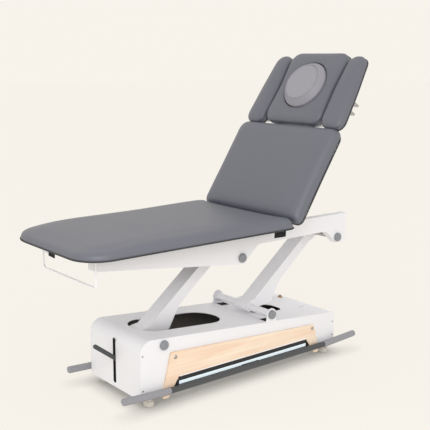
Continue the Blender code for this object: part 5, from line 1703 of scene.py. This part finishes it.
class PHYSIO_OT_stage(bpy.types.Operator):
    """Plain floor, soft light and the camera of the photograph"""

    bl_idname = "physio_table.stage"
    bl_label = "Stage"

    def execute(self, context):
        scene = context.scene
        tint = (*colours().ground, 1.0)
        mesh = bpy.data.meshes.new("floor")
        corners = [(x * FLOOR_HALF, y * FLOOR_HALF, FLOOR) for x, y in ((-1, -1), (1, -1), (1, 1), (-1, 1))]
        mesh.from_pydata(corners, [], [(0, 1, 2, 3)])
        mesh.materials.append(floor_paper(tint))
        floor = on_stage("floor", mesh)
        scene.world = plain_room(tint)

        lamp = bpy.data.lights.new("window_light", "AREA")
        lamp.shape = "DISK"
        lamp.energy = LAMP
        lamp.size = LAMP_SIZE
        window = on_stage("window_light", lamp)
        window.location = LAMP_AT
        window.visible_camera = False
        window.rotation_euler = facing(np.array(LAMP_AT) - LAMP_AIM)

        optics = bpy.data.cameras.new("photo_camera")
        optics.lens = FOCAL
        optics.sensor_width = 36.0
        optics.clip_end = 200.0
        camera = on_stage("photo_camera", optics)
        camera.location = CAMERA_AT
        camera.rotation_euler = (math.radians(90 - CAMERA_DOWN), 0.0, math.radians(-CAMERA_YAW))
        scene.camera = camera
        scene.view_settings.view_transform = "Standard"
        return {"FINISHED"}


class PHYSIO_PT_panel(bpy.types.Panel):
    """Sidebar panel with the table's sizes, colours and building steps"""

    bl_idname = "PHYSIO_PT_panel"
    bl_label = "Physiotherapy table"
    bl_space_type = "VIEW_3D"
    bl_region_type = "UI"
    bl_category = "Physio table"

    def draw(self, context):
        layout = self.layout
        for step in STEPS:
            layout.operator(step.bl_idname)
        for settings in (context.scene.table_sizes, context.scene.table_colours):
            box = layout.box()
            for name in settings.__annotations__:
                box.prop(settings, name)


STEPS = [
    PHYSIO_OT_cabinet,
    PHYSIO_OT_side_panels,
    PHYSIO_OT_lift,
    PHYSIO_OT_upper_frame,
    PHYSIO_OT_foot_bars,
    PHYSIO_OT_running_gear,
    PHYSIO_OT_upholstery,
    PHYSIO_OT_face_plug,
    PHYSIO_OT_linings,
    PHYSIO_OT_stage,
]
CLASSES = [TableSizes, TableColours, *STEPS, PHYSIO_PT_panel]


def register():
    for each in CLASSES:
        bpy.utils.register_class(each)
    bpy.types.Scene.table_sizes = PointerProperty(type=TableSizes)
    bpy.types.Scene.table_colours = PointerProperty(type=TableColours)


def unregister():
    del bpy.types.Scene.table_sizes
    del bpy.types.Scene.table_colours
    for each in reversed(CLASSES):
        bpy.utils.unregister_class(each)


def main():
    register()
    table = bpy.ops.physio_table
    table.cabinet()
    table.side_panels()
    table.lift()
    table.upper_frame()
    table.foot_bars()
    table.running_gear()
    table.upholstery()
    table.face_plug()
    table.linings()
    table.stage()
    bpy.context.view_layer.update()


if __name__ == "__main__":
    main()
